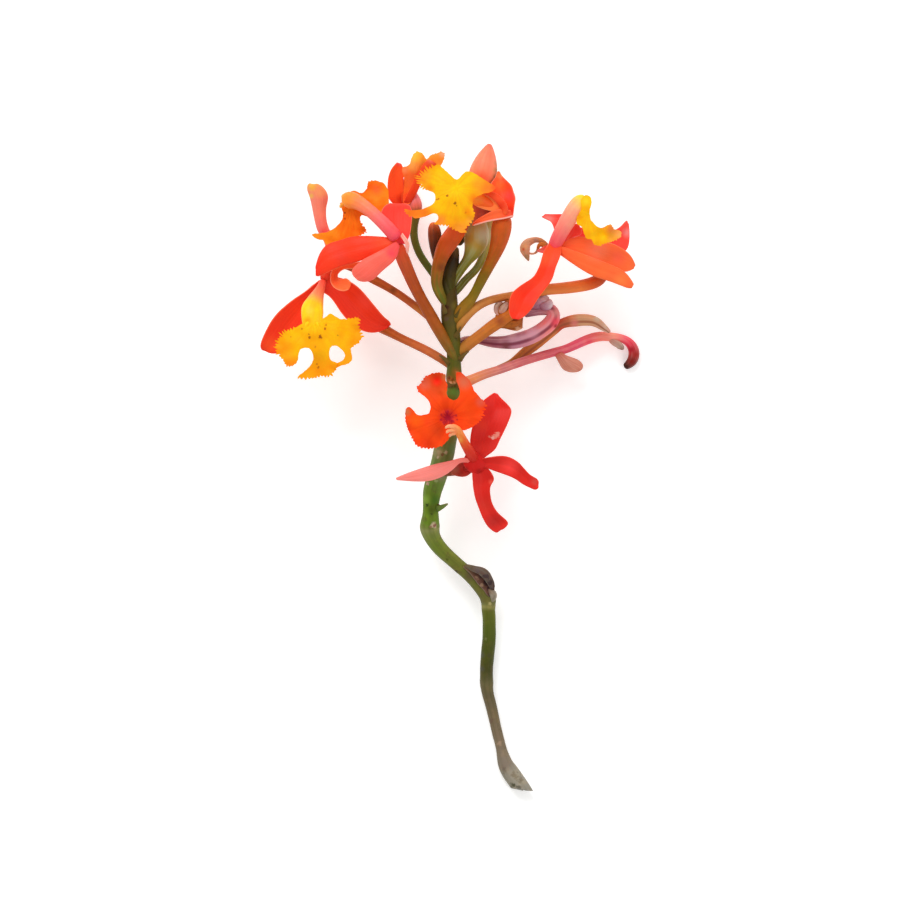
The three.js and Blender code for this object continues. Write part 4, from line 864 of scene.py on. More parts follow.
TEPALS = {
    "lower_left_flower_dorsal_sepal": (rose_to_yellow, -0.3, 0, [(321, 274, 330, 273, 15),
        (326, 261, 336, 260, 15.2, 15.4), (326, 250, 336, 248, 15.6, 15.8), (323.5, 240.5, 333.5, 238.5, 16),
        (317.8, 231.5, 329.4, 230, 16.4), (315, 222, 326.5, 220.5, 16.8), (312.5, 210, 326, 209, 17.2),
        (310, 199, 328, 200, 17.8), (307, 190.5, 327, 193.5, 18.2), (307.5, 185.5, 322, 187, 18.5, 18.6),
        (310, 183.5, 317, 184, 18.6, 18.7)]),
    "lower_left_flower_left_sepal": (red_tepal, 0.1, 0.12, [(320, 279, 325, 283, 16),
        (305, 291, 318, 298, 14.4, 14.6), (289, 302, 310, 318, 12.8, 13.4), (274, 316, 301, 335, 11.2, 12.2),
        (264.5, 332, 289, 347, 10.2, 11), (260, 344, 276, 353, 9.4, 9.8), (261, 350, 268, 352.5, 9.2)]),
    "lower_left_flower_right_sepal": (red_tepal, 0.12, 0.1, [(320, 291, 329, 275, 16.2, 16.4),
        (330.5, 297.5, 346, 279, 15.2, 15.6), (343, 315.5, 359, 287, 13.8, 14.8),
        (357, 328, 372, 302, 12.8, 13.8), (369, 332, 382, 314, 12, 12.8), (379, 331.5, 389, 320.5, 11.6, 12.2),
        (387, 328, 391, 324.5, 11.6, 11.8)]),
    "upper_left_flower_dorsal_sepal": (coral_tepal, 0.08, 0, [(396, 244, 405, 245, 27.2, 27),
        (386, 233, 410, 236, 27.2, 27), (381.5, 221, 412, 223, 26.6, 26.8),
        (381.5, 212, 412.5, 213, 26.4, 26.6), (385, 206.5, 410.5, 207, 26.4, 26.6),
        (390, 203.8, 406, 204.2, 26.4)]),
    "upper_left_flower_left_sepal": (bright_tepal, -0.12, 0.12, [(398, 244, 396, 239, 28.4, 28),
        (384, 251, 380, 237, 28.2, 27.4), (370, 258, 366, 236, 27.6, 26.6), (356, 263, 351, 237, 27, 26),
        (340, 267, 337, 241, 26.2, 25.2), (328, 272.5, 325.5, 245.5, 25.4, 24.6),
        (320, 276.5, 318.6, 257, 24.8, 24.6), (316, 276.5, 315.8, 268, 24.6)]),
    "upper_left_flower_right_sepal": (pale_coral_tepal, -0.14, 0.1, [(400, 246, 396, 242, 29),
        (397.5, 257, 385, 249, 29.8), (392, 264, 375, 254, 30.2), (383, 271.5, 364, 260, 30.2),
        (373, 281, 354.5, 267.5, 29.8), (363, 282.5, 352, 272.5, 29.6, 29.4),
        (357.5, 280.5, 353.5, 276.5, 29.4)]),
    "upper_left_flower_left_petal": (orange_tepal, 0.25, 0, [(392, 252, 390, 246, 25), (376, 264, 375, 257, 23),
        (357, 268.5, 356, 263, 21.8), (345, 269, 343, 264, 21.2), (338.5, 273.5, 332.5, 269.5, 21.2, 21.4),
        (338, 278, 330.5, 280, 21.8, 22.2), (341.5, 280.5, 334, 288, 22.8, 23.4),
        (347, 279, 343, 292, 23.6, 24.4), (351.5, 283, 349, 290, 24.2, 24.6)]),
    "top_flower_dorsal_sepal": (vermilion_tepal, 0.12, 0, [(396, 206, 407.5, 206, 15.4),
        (388.5, 198, 407, 198, 15.9, 16.1), (387.4, 187, 404.5, 188, 16.6, 16.8),
        (388.4, 176, 403.6, 178, 17.4, 17.6), (391.8, 168, 403.8, 170, 18, 18.1),
        (397, 162.2, 401.2, 163.6, 18.3)]),
    "crown_flower_dorsal_sepal": (crown_tepal, 0.18, 0.12, [(500, 221, 513, 218.5, 29.4),
        (496, 212, 514, 210, 29.4), (491, 203, 515.6, 200.5, 29.2), (488.5, 195, 514, 194, 29),
        (489.5, 187, 511.5, 187, 28.6), (494.2, 180, 506, 181, 28.2), (496.5, 174.5, 501, 175.5, 27.8),
        (498, 172, 499.2, 172.4, 27.6)]),
    "crown_flower_left_sepal": (crown_orange, 0.08, 0.08, [(505, 216.5, 506, 210, 30, 30.2),
        (496, 213, 499, 200, 30.8, 31), (487, 211.4, 491, 192, 31.2, 31.4),
        (479.5, 209, 482, 188.5, 31.4, 31.5), (474.5, 206.6, 475.5, 187, 31.5), (471, 203, 470.5, 192, 31.5)]),
    "crown_flower_right_sepal": (crown_lower, 0.1, 0, [(512.5, 217.6, 511, 211.5, 30.4, 30.6),
        (503, 219.6, 502, 210, 30.6, 31), (493.5, 221, 493, 211.6, 30.8, 31.2),
        (484, 223, 485, 215.6, 30.8, 31.2), (476.5, 225.4, 477.5, 220, 30.6, 30.8),
        (472, 226.6, 472.5, 224.2, 30.6)]),
    "right_flower_dorsal_sepal": (coral_tepal, 0.1, 0, [(556, 244, 566, 242, 16.2, 16.4),
        (554, 229, 572, 226, 15.4, 15.6), (551, 222, 567, 215, 14.6, 14.8), (546, 219, 556, 214, 13.8, 14),
        (541.5, 216.5, 545, 213.5, 13.2)]),
    "right_flower_left_sepal": (bright_tepal, 0.12, 0.1, [(561, 246, 549, 243, 18.2),
        (560.5, 256, 543, 253, 19.6, 19.8), (556, 267, 539.5, 265, 20.8, 21.2),
        (552, 280, 533, 277.5, 22, 22.4), (545, 290, 521.5, 285, 22.8, 23.2), (538, 299, 511, 294, 23.4, 23.8),
        (531, 310, 508.5, 305, 23.8, 24), (524, 317, 509, 314, 24), (518, 320, 512, 319, 24)]),
    "right_flower_right_sepal": (orange_tepal, -0.08, 0.1, [(554, 244, 554, 251, 18, 17.8),
        (567, 248, 566, 259, 18.4, 18), (582, 253.5, 580, 269, 18.4, 18), (598, 259.5, 594, 276.5, 18.2, 17.8),
        (613, 265.5, 608, 281, 17.8, 17.4), (625, 272, 620, 285.5, 17.4, 17),
        (631, 279, 627.5, 288, 17.2, 16.9), (634, 284.5, 632, 288, 17, 16.9)]),
    "right_flower_left_petal": (orange_tepal, 0.06, 0.1, [(557, 242.5, 557, 250, 17.6, 17.4),
        (569, 237.5, 570, 254, 17.4), (583, 236.5, 584, 259, 17.2, 17.3), (598, 240, 599, 264.5, 16.8, 17),
        (613, 243.5, 613, 269.5, 16.4, 16.6), (625, 250, 624, 272, 15.8, 16),
        (632.5, 258, 630, 270.5, 15.2, 15.4), (636, 265.3, 634, 268.6, 14.8)]),
    "right_flower_right_petal": (coral_tepal, 0.1, 0, [(560, 243, 562, 250, 15.4, 15.2),
        (572, 227, 581, 247, 14, 13.4), (592, 229, 600, 252, 12, 11), (611, 230, 621, 253, 10, 9),
        (620, 226, 628.5, 246, 8.6, 8), (625, 221, 630, 233, 7.8, 7.4), (627.5, 219.5, 629.5, 223, 7.4, 7.2)]),
    "front_flower_dorsal_sepal": (scarlet_tepal, 0.1, 0.08, [(471, 462, 480, 462, 16.8),
        (469.5, 455, 487, 456, 16.8), (470, 447, 495, 450, 16.8, 16.6), (470, 438, 500, 440, 16.6, 16.4),
        (472, 427, 506, 428, 16.4, 16), (476, 414, 511.5, 414, 16, 15.6), (481, 403, 510, 407, 15.6, 15.2),
        (488, 396.5, 502, 399, 15.4, 15), (494.5, 392.5, 497.5, 393.5, 15)]),
    "front_flower_left_sepal": (pink_tepal, -0.1, 0, [(472, 463, 472, 459, 17.2, 17.4),
        (460.5, 462.5, 462.5, 457.6, 18.2), (453.5, 469, 449, 461, 18.6, 18.8),
        (444, 476, 435, 464, 18.8, 19.2), (430, 481, 419, 469, 18.8, 19.2),
        (415, 481.5, 408, 472.8, 18.8, 19.2), (403, 480.5, 400, 476, 18.8, 19),
        (396.5, 480, 395.5, 478, 18.8)]),
    "front_flower_right_sepal": (scarlet_tepal, 0.14, 0.1, [(482, 462, 472, 463, 17),
        (489, 469, 472, 472, 16.8), (494.5, 478.5, 472.4, 481, 16.6), (490.6, 486, 473.2, 489, 16.2),
        (490.4, 494, 475, 498, 15.8), (492.5, 503.5, 478.5, 508, 15.4), (498, 512.5, 483, 519, 15),
        (506.5, 520, 488, 527, 14.8), (508, 524, 493.5, 531.5, 14.6), (503, 529.5, 497, 532.6, 14.4)]),
    "front_flower_right_petal": (scarlet_tepal, 0.1, 0.1, [(477, 460, 479, 465, 17.2, 17),
        (489, 457, 488, 468.5, 17.6, 17.2), (500.5, 455.5, 497, 472, 17.6, 17),
        (510, 457, 506, 475, 17.2, 16.6), (518, 461.8, 515, 479, 16.6, 16.2), (524, 468, 522, 484, 16, 15.6),
        (530, 474.5, 530, 488, 15.6, 15.4), (537, 478.5, 535.5, 490, 15.2, 15), (538.7, 482, 538.5, 488, 15)]),
    "front_flower_left_petal": (folded_pink, 0.25, 0.15, [(474, 470, 467, 457, 15.6, 15.8),
        (467, 476, 460, 459.5, 15.2, 15.6), (459, 476.5, 454, 463, 15, 15.4),
        (451.5, 474, 450, 467, 14.8, 15)]),
}
# Tepals that hang behind their flowers, as (skin, middle line, width in mm, the way that they face).
HANGING = {
    "lower_left_flower_left_petal": (red_tepal, [(324, 282, 15.4), (312, 295, 9), (297, 316, 0.6)], 3.6,
        (-0.7, -0.7, 0.5)),
    "lower_left_flower_right_petal": (red_tepal, [(326, 282, 15.4), (341, 293, 9), (354, 308, 0.6)], 3.6,
        (0.6, -0.8, 0.5)),
    "upper_left_flower_right_petal": (coral_tepal, [(402, 240, 26.6), (398, 228, 20), (394, 226, 12.8)], 4,
        (-0.8, 0.5, 0.2)),
    "top_flower_left_sepal": (red_tepal, [(407, 205, 14.4), (398, 214, 9.6), (396, 212, 3.8)], 4,
        (-0.9, 0.2, 0.2)),
    "top_flower_right_sepal": (red_tepal, [(409, 204, 14.2), (404, 188, 7), (406, 178, 0.6)], 3.6,
        (-0.1, 0.9, 0.4)),
    "top_flower_left_petal": (red_tepal, [(407, 204, 14.2), (396, 191, 8), (394, 186, 0.8)], 4,
        (-0.8, 0.5, 0.3)),
    "top_flower_right_petal": (orange_tepal, [(409, 205, 14.2), (414, 210, 9.8), (413, 217, 3.6)], 3.4,
        (0.9, 0.3, 0.2)),
    "crown_flower_left_petal": (red_tepal, [(505, 213, 28.6), (508, 197, 23.4), (505, 187, 16.6)], 3.4,
        (0.7, 0.6, 0.2)),
    "crown_flower_right_petal": (red_tepal, [(504, 213, 28.2), (498, 210, 24), (502, 208, 17.6)], 3.6,
        (0.2, 0.9, 0.2)),
}
for name, (skin, cup, ripple, plan) in TEPALS.items():
    grown(blade(name + "_blade", plan, cup, ripple, seed=len(name)), skin, name)
for name, (skin, points, width, facing) in HANGING.items():
    plan = spread(points, width, facing)
    grown(blade(name + "_blade", plan, cup=0.15, ripple=0.1, steps=1, seed=len(name)), skin, name)

# Folds and small leaves that stand for no node of their own, as (skin, slot, settings, plan).
SCALES = {
    "upper_left_pale_fold": (pale_edge, "tepal", dict(cup=0.2, steps=2), [(400, 236, 402.5, 233.5, 28.6, 28.8),
        (403, 240.5, 405.5, 238, 29.4, 29.6), (405.5, 245, 409.5, 243.5, 29.4, 29.6),
        (406, 250, 409, 249.5, 29.2), (407.5, 254.5, 408.6, 254, 28.8)]),
    "crown_red_fold": (crown_tepal, "tepal", dict(cup=-0.3, steps=2), [(482, 193.4, 483.5, 191.2, 31.9, 32),
        (490, 198, 493, 193, 31.9), (497, 204.5, 501.5, 198.5, 31.6), (501, 211, 507, 206.5, 31.1),
        (503, 216.4, 508.5, 214.6, 30.7)]),
    "crown_dark_fold": (crimson_fold, "tepal", dict(cup=0.1, steps=1), [(472, 205, 472, 224, 30.4, 30.2),
        (481, 208, 482, 219, 30.4, 30.2), (494, 210.5, 494, 214, 30.2)]),
    "crown_pale_rim": (pale_edge, "tepal", dict(cup=0.05, steps=2), [(513.4, 215.9, 513.6, 217.5, 31),
        (503, 218.6, 503.2, 220.1, 31.1), (493.4, 220.1, 493.6, 221.5, 31.2), (484, 222.2, 484.2, 223.6, 31.2),
        (473, 225.7, 473.2, 226.9, 31)]),
    "top_red_band": (ember_tepal, "tepal", dict(cup=-0.1, steps=2), [(403, 203, 410, 204.5, 18.2),
        (409, 191, 416.5, 194, 18.8, 18.6), (414, 181, 421, 184.5, 19.4, 19.2),
        (418.6, 172, 427.5, 176.5, 19.9, 19.6), (423.6, 164, 434.5, 169.5, 20.2, 19.8),
        (428.5, 159.2, 436.5, 163.5, 20.4, 20)]),
    "front_heart": (heart_skin, "tepal", dict(cup=-0.1, ripple=0.1, steps=2), [(470, 449, 474, 449, 16.8),
        (465.5, 454.5, 480, 454, 17.2), (463, 460, 484.5, 459, 17.4, 17.3), (464, 466, 486, 465, 17.4, 17.2),
        (467.5, 470.5, 484, 470, 17.2, 17), (472.5, 473.6, 479, 473.4, 16.8)]),
    "right_small_point": (coral_tepal, "tepal", dict(cup=0.1), [(551, 253.5, 550, 243.5, 18, 18.2),
        (543, 253.3, 543.5, 246.5, 17.8), (536.5, 251.3, 537, 250.3, 17.4)]),
    "right_inner_fold": (coral_tepal, "tepal", dict(cup=0.1), [(561, 243, 573, 237.5, 17.8, 18.2),
        (566, 232, 582, 234, 18, 18.2), (572, 223, 579, 224, 18.2)]),
}
green_scale = tepal_skin("orchid_bract_grown_green", "4E6420", "6A8238", "86965E", "8E9A6A", vein_dark=0.3)
brown_scale = tepal_skin("orchid_bract_dried_brown", "56521C", "62521E", "7A5A30", "6E5632", vein_dark=0.4)
for name, skin, points, width in [
    ("stem_bract", green_scale, [(436, 509.5, 10), (442, 507, 10.6), (448, 503.8, 10.9)], 1.15),
    ("stem_bract_under", brown_scale, [(437, 506.5, 9.6), (440, 505.5, 10), (443, 505.5, 10)], 0.5),
    ("upper_left_bract", brown_scale, [(446, 314, 19.4), (444, 308, 19.7), (442.6, 303, 19.9)], 0.9),
    ("crown_bract", brown_scale, [(456, 318, 19.3), (459, 312, 20), (461, 307, 20.3)], 0.8),
    ("right_bract", brown_scale, [(455, 338, 18.6), (458, 332, 19.1), (461, 326.5, 19.4)], 0.8),
    ("curled_bract", brown_scale, [(459, 360, 17.6), (464, 355, 18), (469, 351, 17.8)], 0.9),
    ("lower_left_bract", brown_scale, [(450, 364, 17.4), (444.5, 359, 17.4), (439, 355, 17)], 0.9),
    ("node_bract", brown_scale, [(446, 384, 16), (452, 385.5, 17.2), (459, 383, 16.8)], 0.7),
    ("pink_bract", brown_scale, [(457, 388, 17), (461, 385, 17.4), (465, 382, 17.4)], 0.8),
]:
    SCALES[name] = (skin, "dry_bract", dict(cup=-0.2, steps=1), spread(points, width, (0, 0, 1)))
for name, (skin, slot, settings, edges) in SCALES.items():
    grown(blade(name, edges, columns=6, seed=len(name), **settings), skin)

# ---------------------------------------------------------------------------------------------
# Columns, as (colours along the tube, middle line with radii in mm).
# ---------------------------------------------------------------------------------------------
COLUMNS = {
    "lower_left": ([(0, "E8402C"), (0.14, "F06048"), (0.3, "F88C58"), (0.44, "FCC41C"), (1, "FFCE08")], [
        (323, 280, 16.2, 0.7), (321.5, 286, 17, 0.8), (318, 294, 18.2, (1.2, 1)), (315, 302, 19.4, (1.75, 1.3)),
        (312.6, 309, 20.5, (2.2, 1.4)), (312.4, 315, 21.2, (2.15, 1.3)), (312.5, 320.5, 21.6, (2.05, 1)),
        (312.8, 325.5, 21.7, (1.95, 0.7)), (313, 329, 21.5, (1.7, 0.4))]),
    "upper_left": ([(0, "EC4458"), (0.3, "F46A68"), (0.55, "F88058"), (0.72, "FA8A38"), (1, "FF9C28")], [
        (398, 240, 28.6, 1.3), (389, 229.5, 28.8, 1.35), (378, 218.5, 28, 1.25), (367, 209, 27, 1.25),
        (357, 202.5, 25.8, 1.5), (349, 200.5, 24.8, 1.75), (344.5, 202, 24.2, 1.2)]),
    "top": ([(0, "D04028"), (0.35, "F05A20"), (0.7, "FA8A30"), (1, "FFB83C")], [(404, 203, 15, 0.8),
        (405, 193, 15.9, 0.95), (408, 182, 16.5, 1), (412, 170, 17, 1), (415.5, 161, 17.4, 0.7)]),
    "crown": ([(0, "E84420"), (0.5, "F86420"), (1, "FFAA20")], [(505, 213, 29, 0.9), (494, 208, 30, 1),
        (483, 202, 31, 1.2), (474, 199, 31.8, 1.3), (468, 198, 32.2, 0.9)]),
    "right": ([(0, "F04A60"), (0.2, "F86A6C"), (0.42, "FF9A84"), (0.6, "FFB48A"), (0.72, "FFC468"),
        (0.84, "FED434"), (1, "FCD018")], [(553.5, 247.5, 17.4, 1.2), (557, 240, 18.2, 1.4),
            (562.5, 229.5, 19.2, 1.5), (569, 218.5, 20.2, 1.65), (575.5, 209, 20.8, 1.8),
            (580.5, 203, 21.2, 1.75), (584, 199.5, 21.4, 1.3), (586, 197.6, 21.4, 0.7)]),
    "front": ([(0, "C41C16"), (0.24, "CC2216"), (0.36, "D8301A"), (0.46, "E8561E"), (0.6, "F07C2C"),
        (0.76, "F69450"), (1, "FFB888")], [(480, 471, 14.2, 0.8), (476, 463, 16, 1), (471.3, 454.5, 18.1, 1.05),
            (464.5, 443, 20.6, 0.9), (461, 436, 22.2, 0.8), (457, 429.5, 23.8, 0.8), (452.5, 427.5, 24.8, 0.7),
            (450, 428, 25, 0.4)]),
}
# The patches at (307.5, 321) and (580.5, 226) are painted shade along the columns' shaded edges; the others are
# tints of the columns' own colour.
COLUMN_TINTS_AND_PAINTED_SHADE = {
    "lower_left": [(307.5, 321, 1.2, "FA9C08")],
    "right": [(585, 206, 1.7, "FFD418"), (589, 199, 1.4, "FCCC20"), (580.5, 226, 1.1, "DA845C")],
    "front": [(460, 440, 0.9, "F8A040")],
}
for place, (stops, points) in COLUMNS.items():
    scars = [(579, 221.5, 0.3, "8A6A6A")] if place == "right" else ()
    skin = stalk_skin("orchid_column_grown_" + place, stops, streaks=0.14, streak_colour="E8503A",
                      roughness=0.36, spots=scars, tints_and_painted_light=COLUMN_TINTS_AND_PAINTED_SHADE.get(place, ()))
    grown(stalk(place + "_column_tube", points, ribs=2, rib_depth=0.06), skin,
          place + "_flower_column")

# The fingers at a column's tip, where its lip begins, as (name, skin, radius in mm, middle lines).
finger_skin = stalk_skin("orchid_column_grown_pale", [(0, "F88850"), (1, "FFBC90")], streaks=0.1)
amber_finger_skin = stalk_skin("orchid_column_grown_amber", [(0, "FA8A28"), (1, "FFB040")], streaks=0.1)
yellow_finger_skin = stalk_skin("orchid_column_grown_yellow", [(0, "FFD00C"), (1, "FFB40C")], streaks=0.1)
FINGERS = [
    ("front_finger", finger_skin, 0.42, [
        [(455, 428.6, 24.9), (451.4, 426.4, 25.7), (447.8, 426.4, 25.7), (445.3, 428.2, 25.3)],
        [(455, 430.8, 24.9), (451.4, 430, 25.4), (448, 431, 25.2), (446.4, 433, 24.8)],
        [(455.5, 433, 24.6), (452.6, 433.4, 24.9), (450.4, 434.8, 24.7), (449.4, 436.6, 24.3)],
    ]),
    ("upper_left_finger", amber_finger_skin, 0.4, [
        [(350, 196.5, 25.2), (346, 195, 24.8), (342, 197.5, 24.2)],
        [(346, 204, 25.2), (342.5, 205, 24.6), (340.5, 208, 24)],
    ]),
    ("lower_left_finger", yellow_finger_skin, 0.4, [
        [(309, 321, 22), (306.5, 326, 22.2), (305, 331, 21.8)],
        [(317, 322, 22.2), (318.5, 327, 22.4), (320, 331, 22)],
    ]),
]
TAPER = (1.2, 1.1, 0.9, 0.5)
for name, skin, thickness, fingers in FINGERS:
    for i, points in enumerate(fingers):
        path = [(u, v, z, thickness * share) for (u, v, z), share in zip(points, TAPER)]
        grown(stalk("%s_%d" % (name, i + 1), path, sides=8), skin)

# ---------------------------------------------------------------------------------------------
# Lips.
# ---------------------------------------------------------------------------------------------
# Its patch at (314, 345) is painted shade, darkening the raised middle of the lip where it faces the light.
yellow_lip = lip_skin("orchid_lip_grown_yellow_lower", (314, 322), "FFD008", "FFB806", "FF9E0A", 10.5, spots=[
    (309.5, 337.5, 0.26, "9A4810"), (309, 334.5, 0.16, "C07810"), (320.5, 337, 0.38, "8E3A10"),
    (325, 329, 0.26, "8E4810"), (326, 325, 0.24, "9A5410"), (315.5, 347, 0.24, "B8740C"),
    (318.5, 367.5, 0.28, "B85A0C"), (317, 364, 0.18, "D07810"), (302, 329, 0.2, "B87A10"),
    (338, 335.5, 0.18, "C88A10"), (275, 346, 0.16, "7A2A10"), (291, 337, 0.14, "D08A10")], tints_and_painted_light=[
        (314, 345, 3, "F4A204"), (283, 351, 3, "FA9206"), (290, 364, 2, "FF8A10"), (350, 360, 1.6, "FFA214"),
        (330, 374, 1.6, "FF9A10")])
crown_lip_skin = lip_skin("orchid_lip_grown_yellow_crown", (456, 190), "FFD808", "FFBC08", "FF9A10", 8.5,
    spots=[(447.5, 197, 0.24, "9A4810"), (438.5, 200.3, 0.2, "B04010"), (437, 200.8, 0.16, "A84410"),
        (455, 204.5, 0.26, "8A3810"), (465.5, 214, 0.18, "E07A0C"), (456.5, 207, 0.12, "A04A10")], streak=0.26,
    streak_colour="F08C10", tints_and_painted_light=[(424, 178, 2.6, "FFA01C"), (429, 190, 1.8, "FF8410"),
        (424, 213, 2.2, "F07818"), (410, 215, 4.6, "F87420"), (487, 190, 3.6, "FA7A24"),
        (478, 184, 2, "FFA020"), (474, 200, 1.8, "F2780E"), (468, 213, 1.6, "F28C08"),
        (461, 231, 2.4, "FFA030"), (440, 222, 1.8, "FA8A30"), (494, 189, 1.4, "FA5C24"),
        (424, 183, 0.8, "F08A10"), (470, 222, 1.4, "FFA82C")])
upper_lip_skin = lip_skin("orchid_lip_grown_orange_upper", (352, 206), "FF9020", "FC7A12", "FA8614", 8.5,
    spots=[(345, 213, 0.18, "A83A10"), (345, 219, 0.18, "B03C10"), (340, 208, 0.12, "A83A10"),
        (343.5, 216, 0.1, "B04010")], streak_colour="E85008", tints_and_painted_light=[(376, 203, 2, "FA9020"),
        (318, 236, 2.4, "FF9420"), (376, 189, 2.2, "F86428"), (370, 195, 1.6, "FC7A1C")])
top_lip_skin = lip_skin("orchid_lip_grown_orange_top", (405, 206), "DE3410", "FA6A2A", "FFA43A", 11, streak=0.2,
    streak_colour="F0501C", tints_and_painted_light=[(413, 166, 2.2, "FCA44C"), (418, 155, 2.4, "FFC43C"),
        (408, 180, 2.2, "FF7838"), (407, 196, 1.6, "F0481A"), (438, 157, 2.4, "FA8A2A"),
        (443, 154, 1.2, "FAA078"), (431, 165, 1.4, "EE5A30"), (405, 170, 1.2, "F88A54")])
right_lip_skin = lip_skin("orchid_lip_grown_yellow_right", (588, 214), "FFD008", "FFB806", "FF9A14", 9, tints_and_painted_light=[
    (598, 236, 2.2, "FFC008"), (611, 229, 1.8, "EA7838"), (586, 202, 1.6, "FCCC1C"), (619, 234, 2.2, "FCA050"),
    (612, 239, 1.4, "FBAA38"), (603, 226.5, 0.8, "F08838")])
front_lip_skin = lip_skin("orchid_lip_grown_flame", (448, 418), "E03A18", "F8480E", "EC3C12", 11.5, spots=[
    (448, 411.6, 0.26, "A81C34"), (441.6, 415, 0.28, "B0182E"), (448, 417, 0.5, "B41A34"),
    (452, 421, 0.4, "A81830"), (444, 422.5, 0.34, "B02030"), (456, 415.5, 0.22, "B82A30"),
    (457, 419.5, 0.2, "B82A28"), (441, 419.5, 0.24, "B01C34"), (449, 424.5, 0.24, "B02430")], streak=0.4,
    streak_colour="D83408", star=(1.2, "AC1830"), tints_and_painted_light=[(448, 417, 2.4, "C82A30"), (470, 406, 3.4, "E84206"),
        (436, 384, 4.4, "CA461A"), (437, 381, 1.6, "F42410"), (446, 393, 1.2, "F05A1C"),
        (416, 421, 2.4, "FF5A0C"), (427, 444, 2.6, "DC3408"), (464, 382, 2.4, "DA6A48"),
        (424, 384, 2, "D85C40"), (481, 402, 1.6, "D85640"), (438, 430, 2.6, "CC3A0C"),
        (407, 412, 1.2, "D87848"), (445, 377, 1.2, "B86A38")])

grown(lip_blade("lower_left_lip_blade", [(324, 318), (330, 313.7), (336, 316.5), (340, 319), (347, 319, 0.4),
    (354, 318.4, 0.6), (359, 318, 0.8), (358, 325, 0.9), (361, 332, 0.9), (362, 338, 0.7), (357, 344, 0.5),
    (352, 347), (351, 351), (352.4, 357), (350.5, 362.3), (345, 365), (339.4, 365.3), (338.9, 362.6),
    (343, 360), (345, 356), (343, 351), (339, 347.6), (334.7, 345.6), (330.4, 347.8), (329.4, 354.5),
    (331, 360.3), (336.6, 362.8), (337.3, 366.3, 0.3), (335, 371, 0.7), (330, 376, 0.8), (320.5, 376, 0.6),
    (311, 378.5, 0.7), (298, 377.3), (305, 371), (311, 365), (313.5, 357.5), (311, 350), (307, 348),
    (301, 349.5), (298.5, 356), (297.5, 362, 0.3), (291, 366.5, 0.5), (286, 365, 0.5), (283, 359.5, 0.5),
    (278.5, 355, 1), (276, 349, 1.6), (277, 343, 1.7), (279.6, 338, 1.5), (282.6, 334, 1), (287, 331, 0.6),
    (295.5, 328), (301, 324.5), (305, 323)], 21, pulls=[(315, 340, 1.2, 9), (278, 345, -1.4, 5),
        (356, 333, -1.2, 5), (316, 373, -1.6, 6), (310, 332, 0.6, 2.2), (320, 332, 0.6, 2.2),
        (316, 352, 0.5, 2.2), (293, 341, 0.5, 2.6), (338, 332, 0.5, 2.4), (290, 360, 0.5, 2.4),
        (348, 340, 0.5, 2), (300, 336, -0.4, 2)], teeth=(3.4, 3.2)), yellow_lip,
    "lower_left_flower_lip")
grown(blade("lower_left_lip_lap", [(333.5, 364, 334, 369.5, 20.9, 20.8), (338, 362.8, 338.6, 367, 21.1, 21),
    (343, 361.4, 343, 365, 20.9, 20.8)], cup=0.1, steps=1, columns=4), yellow_lip)
grown(lip_blade("crown_lip_blade", [(457, 181), (463.5, 175), (468, 172.5), (477, 176.5), (487, 182.8),
    (493.6, 186.6), (495, 190), (490, 193.6), (483, 195.2), (477, 198), (473, 201), (472.5, 209, 0.3),
    (474.5, 216, 0.4), (472, 222, 0.6), (467, 227, 0.6), (464, 234), (457, 232, 0.4), (448.5, 227, 0.4),
    (439, 226), (434, 225), (438.5, 220), (435, 214.5), (427.5, 217), (418, 219.5), (411.5, 218, 0.4),
    (405.5, 213.5, 0.5), (406, 210.5), (412, 211.5), (423.5, 210), (432.5, 205.5), (435.5, 199), (433.5, 193.8),
    (427.5, 191.6, 0.6), (422.4, 189.2, 1.1), (419.8, 185.6, 1.7), (420, 181, 1.9), (420.6, 177, 1.8),
    (424, 173.4, 1.4), (428.8, 170, 0.8), (434, 167.6), (438.6, 166.2), (444, 170.5), (450.5, 176.5)], 33.6,
    pulls=[(458, 203, 1, 8), (424, 180, -1.2, 5), (489, 186, -0.6, 5), (458, 231, -1, 5), (450, 198, 0.5, 2.4),
        (461, 200, 0.5, 2.4), (410, 214, -0.8, 4), (474, 185, 0.6, 3), (438, 184, 0.5, 3),
        (428, 210, 0.5, 2.4)], teeth=(4, 3.5), seed=5), crown_lip_skin, "crown_flower_lip")
grown(lip_blade("upper_left_lip_blade", [(341, 206), (343, 213), (342, 220), (336, 227), (328, 232),
    (320, 233.5), (312, 234.5), (316, 239), (324, 241, 0.4), (327, 246.5, 0.4), (332, 243, 0.3),
    (340, 241, 0.4), (349, 240, 0.5), (357, 237.5, 0.5), (366.5, 231.5, 0.6), (363, 226, 0.4), (360, 220),
    (362, 215.5), (371, 218.5), (382, 221.5), (389, 212), (389, 198), (388, 190), (384, 183.5), (380, 182),
    (373, 180.6, 0.3), (368, 183, 0.3), (367, 188.5), (362, 193.5), (355, 191), (349, 193), (342.5, 199, 0.4)],
    22.4, pulls=[(352, 206, 0.8, 6), (320, 237, -0.8, 5), (376, 190, -1.2, 5), (346, 227, -0.6, 3),
        (333, 236, 0.6, 2.4), (352, 225, 0.6, 2.6), (378, 200, 0.6, 2.4), (370, 208, -0.5, 2)], teeth=(3, 3),
    seed=7), upper_lip_skin, "upper_left_flower_lip")
grown(lip_blade("top_lip_blade", [(402.4, 167.6), (408.6, 165.4), (411.4, 159), (413.2, 154, 0.3),
    (418.2, 151.6, 0.3), (422.6, 154), (425.8, 158.8), (427.4, 158.6), (431.4, 154.8, 0.3), (436.8, 153.6, 0.4),
    (441.4, 151.5, 0.4), (444.8, 154.6, 0.4), (443.4, 160.6), (440.4, 166), (436, 169.5), (429, 172),
    (423, 177), (418, 186), (413, 196), (409.5, 204), (403.5, 203.5), (403.5, 192), (404.5, 182), (402.6, 174)],
    18.6, pulls=[(438, 160, 1.6, 4), (418, 157, 1, 4), (427, 164, -0.9, 3), (405, 192, -1.1, 4),
        (412, 168, 0.7, 3)], teeth=(2, 3.2), seed=9, cells=56), top_lip_skin, "top_flower_lip")
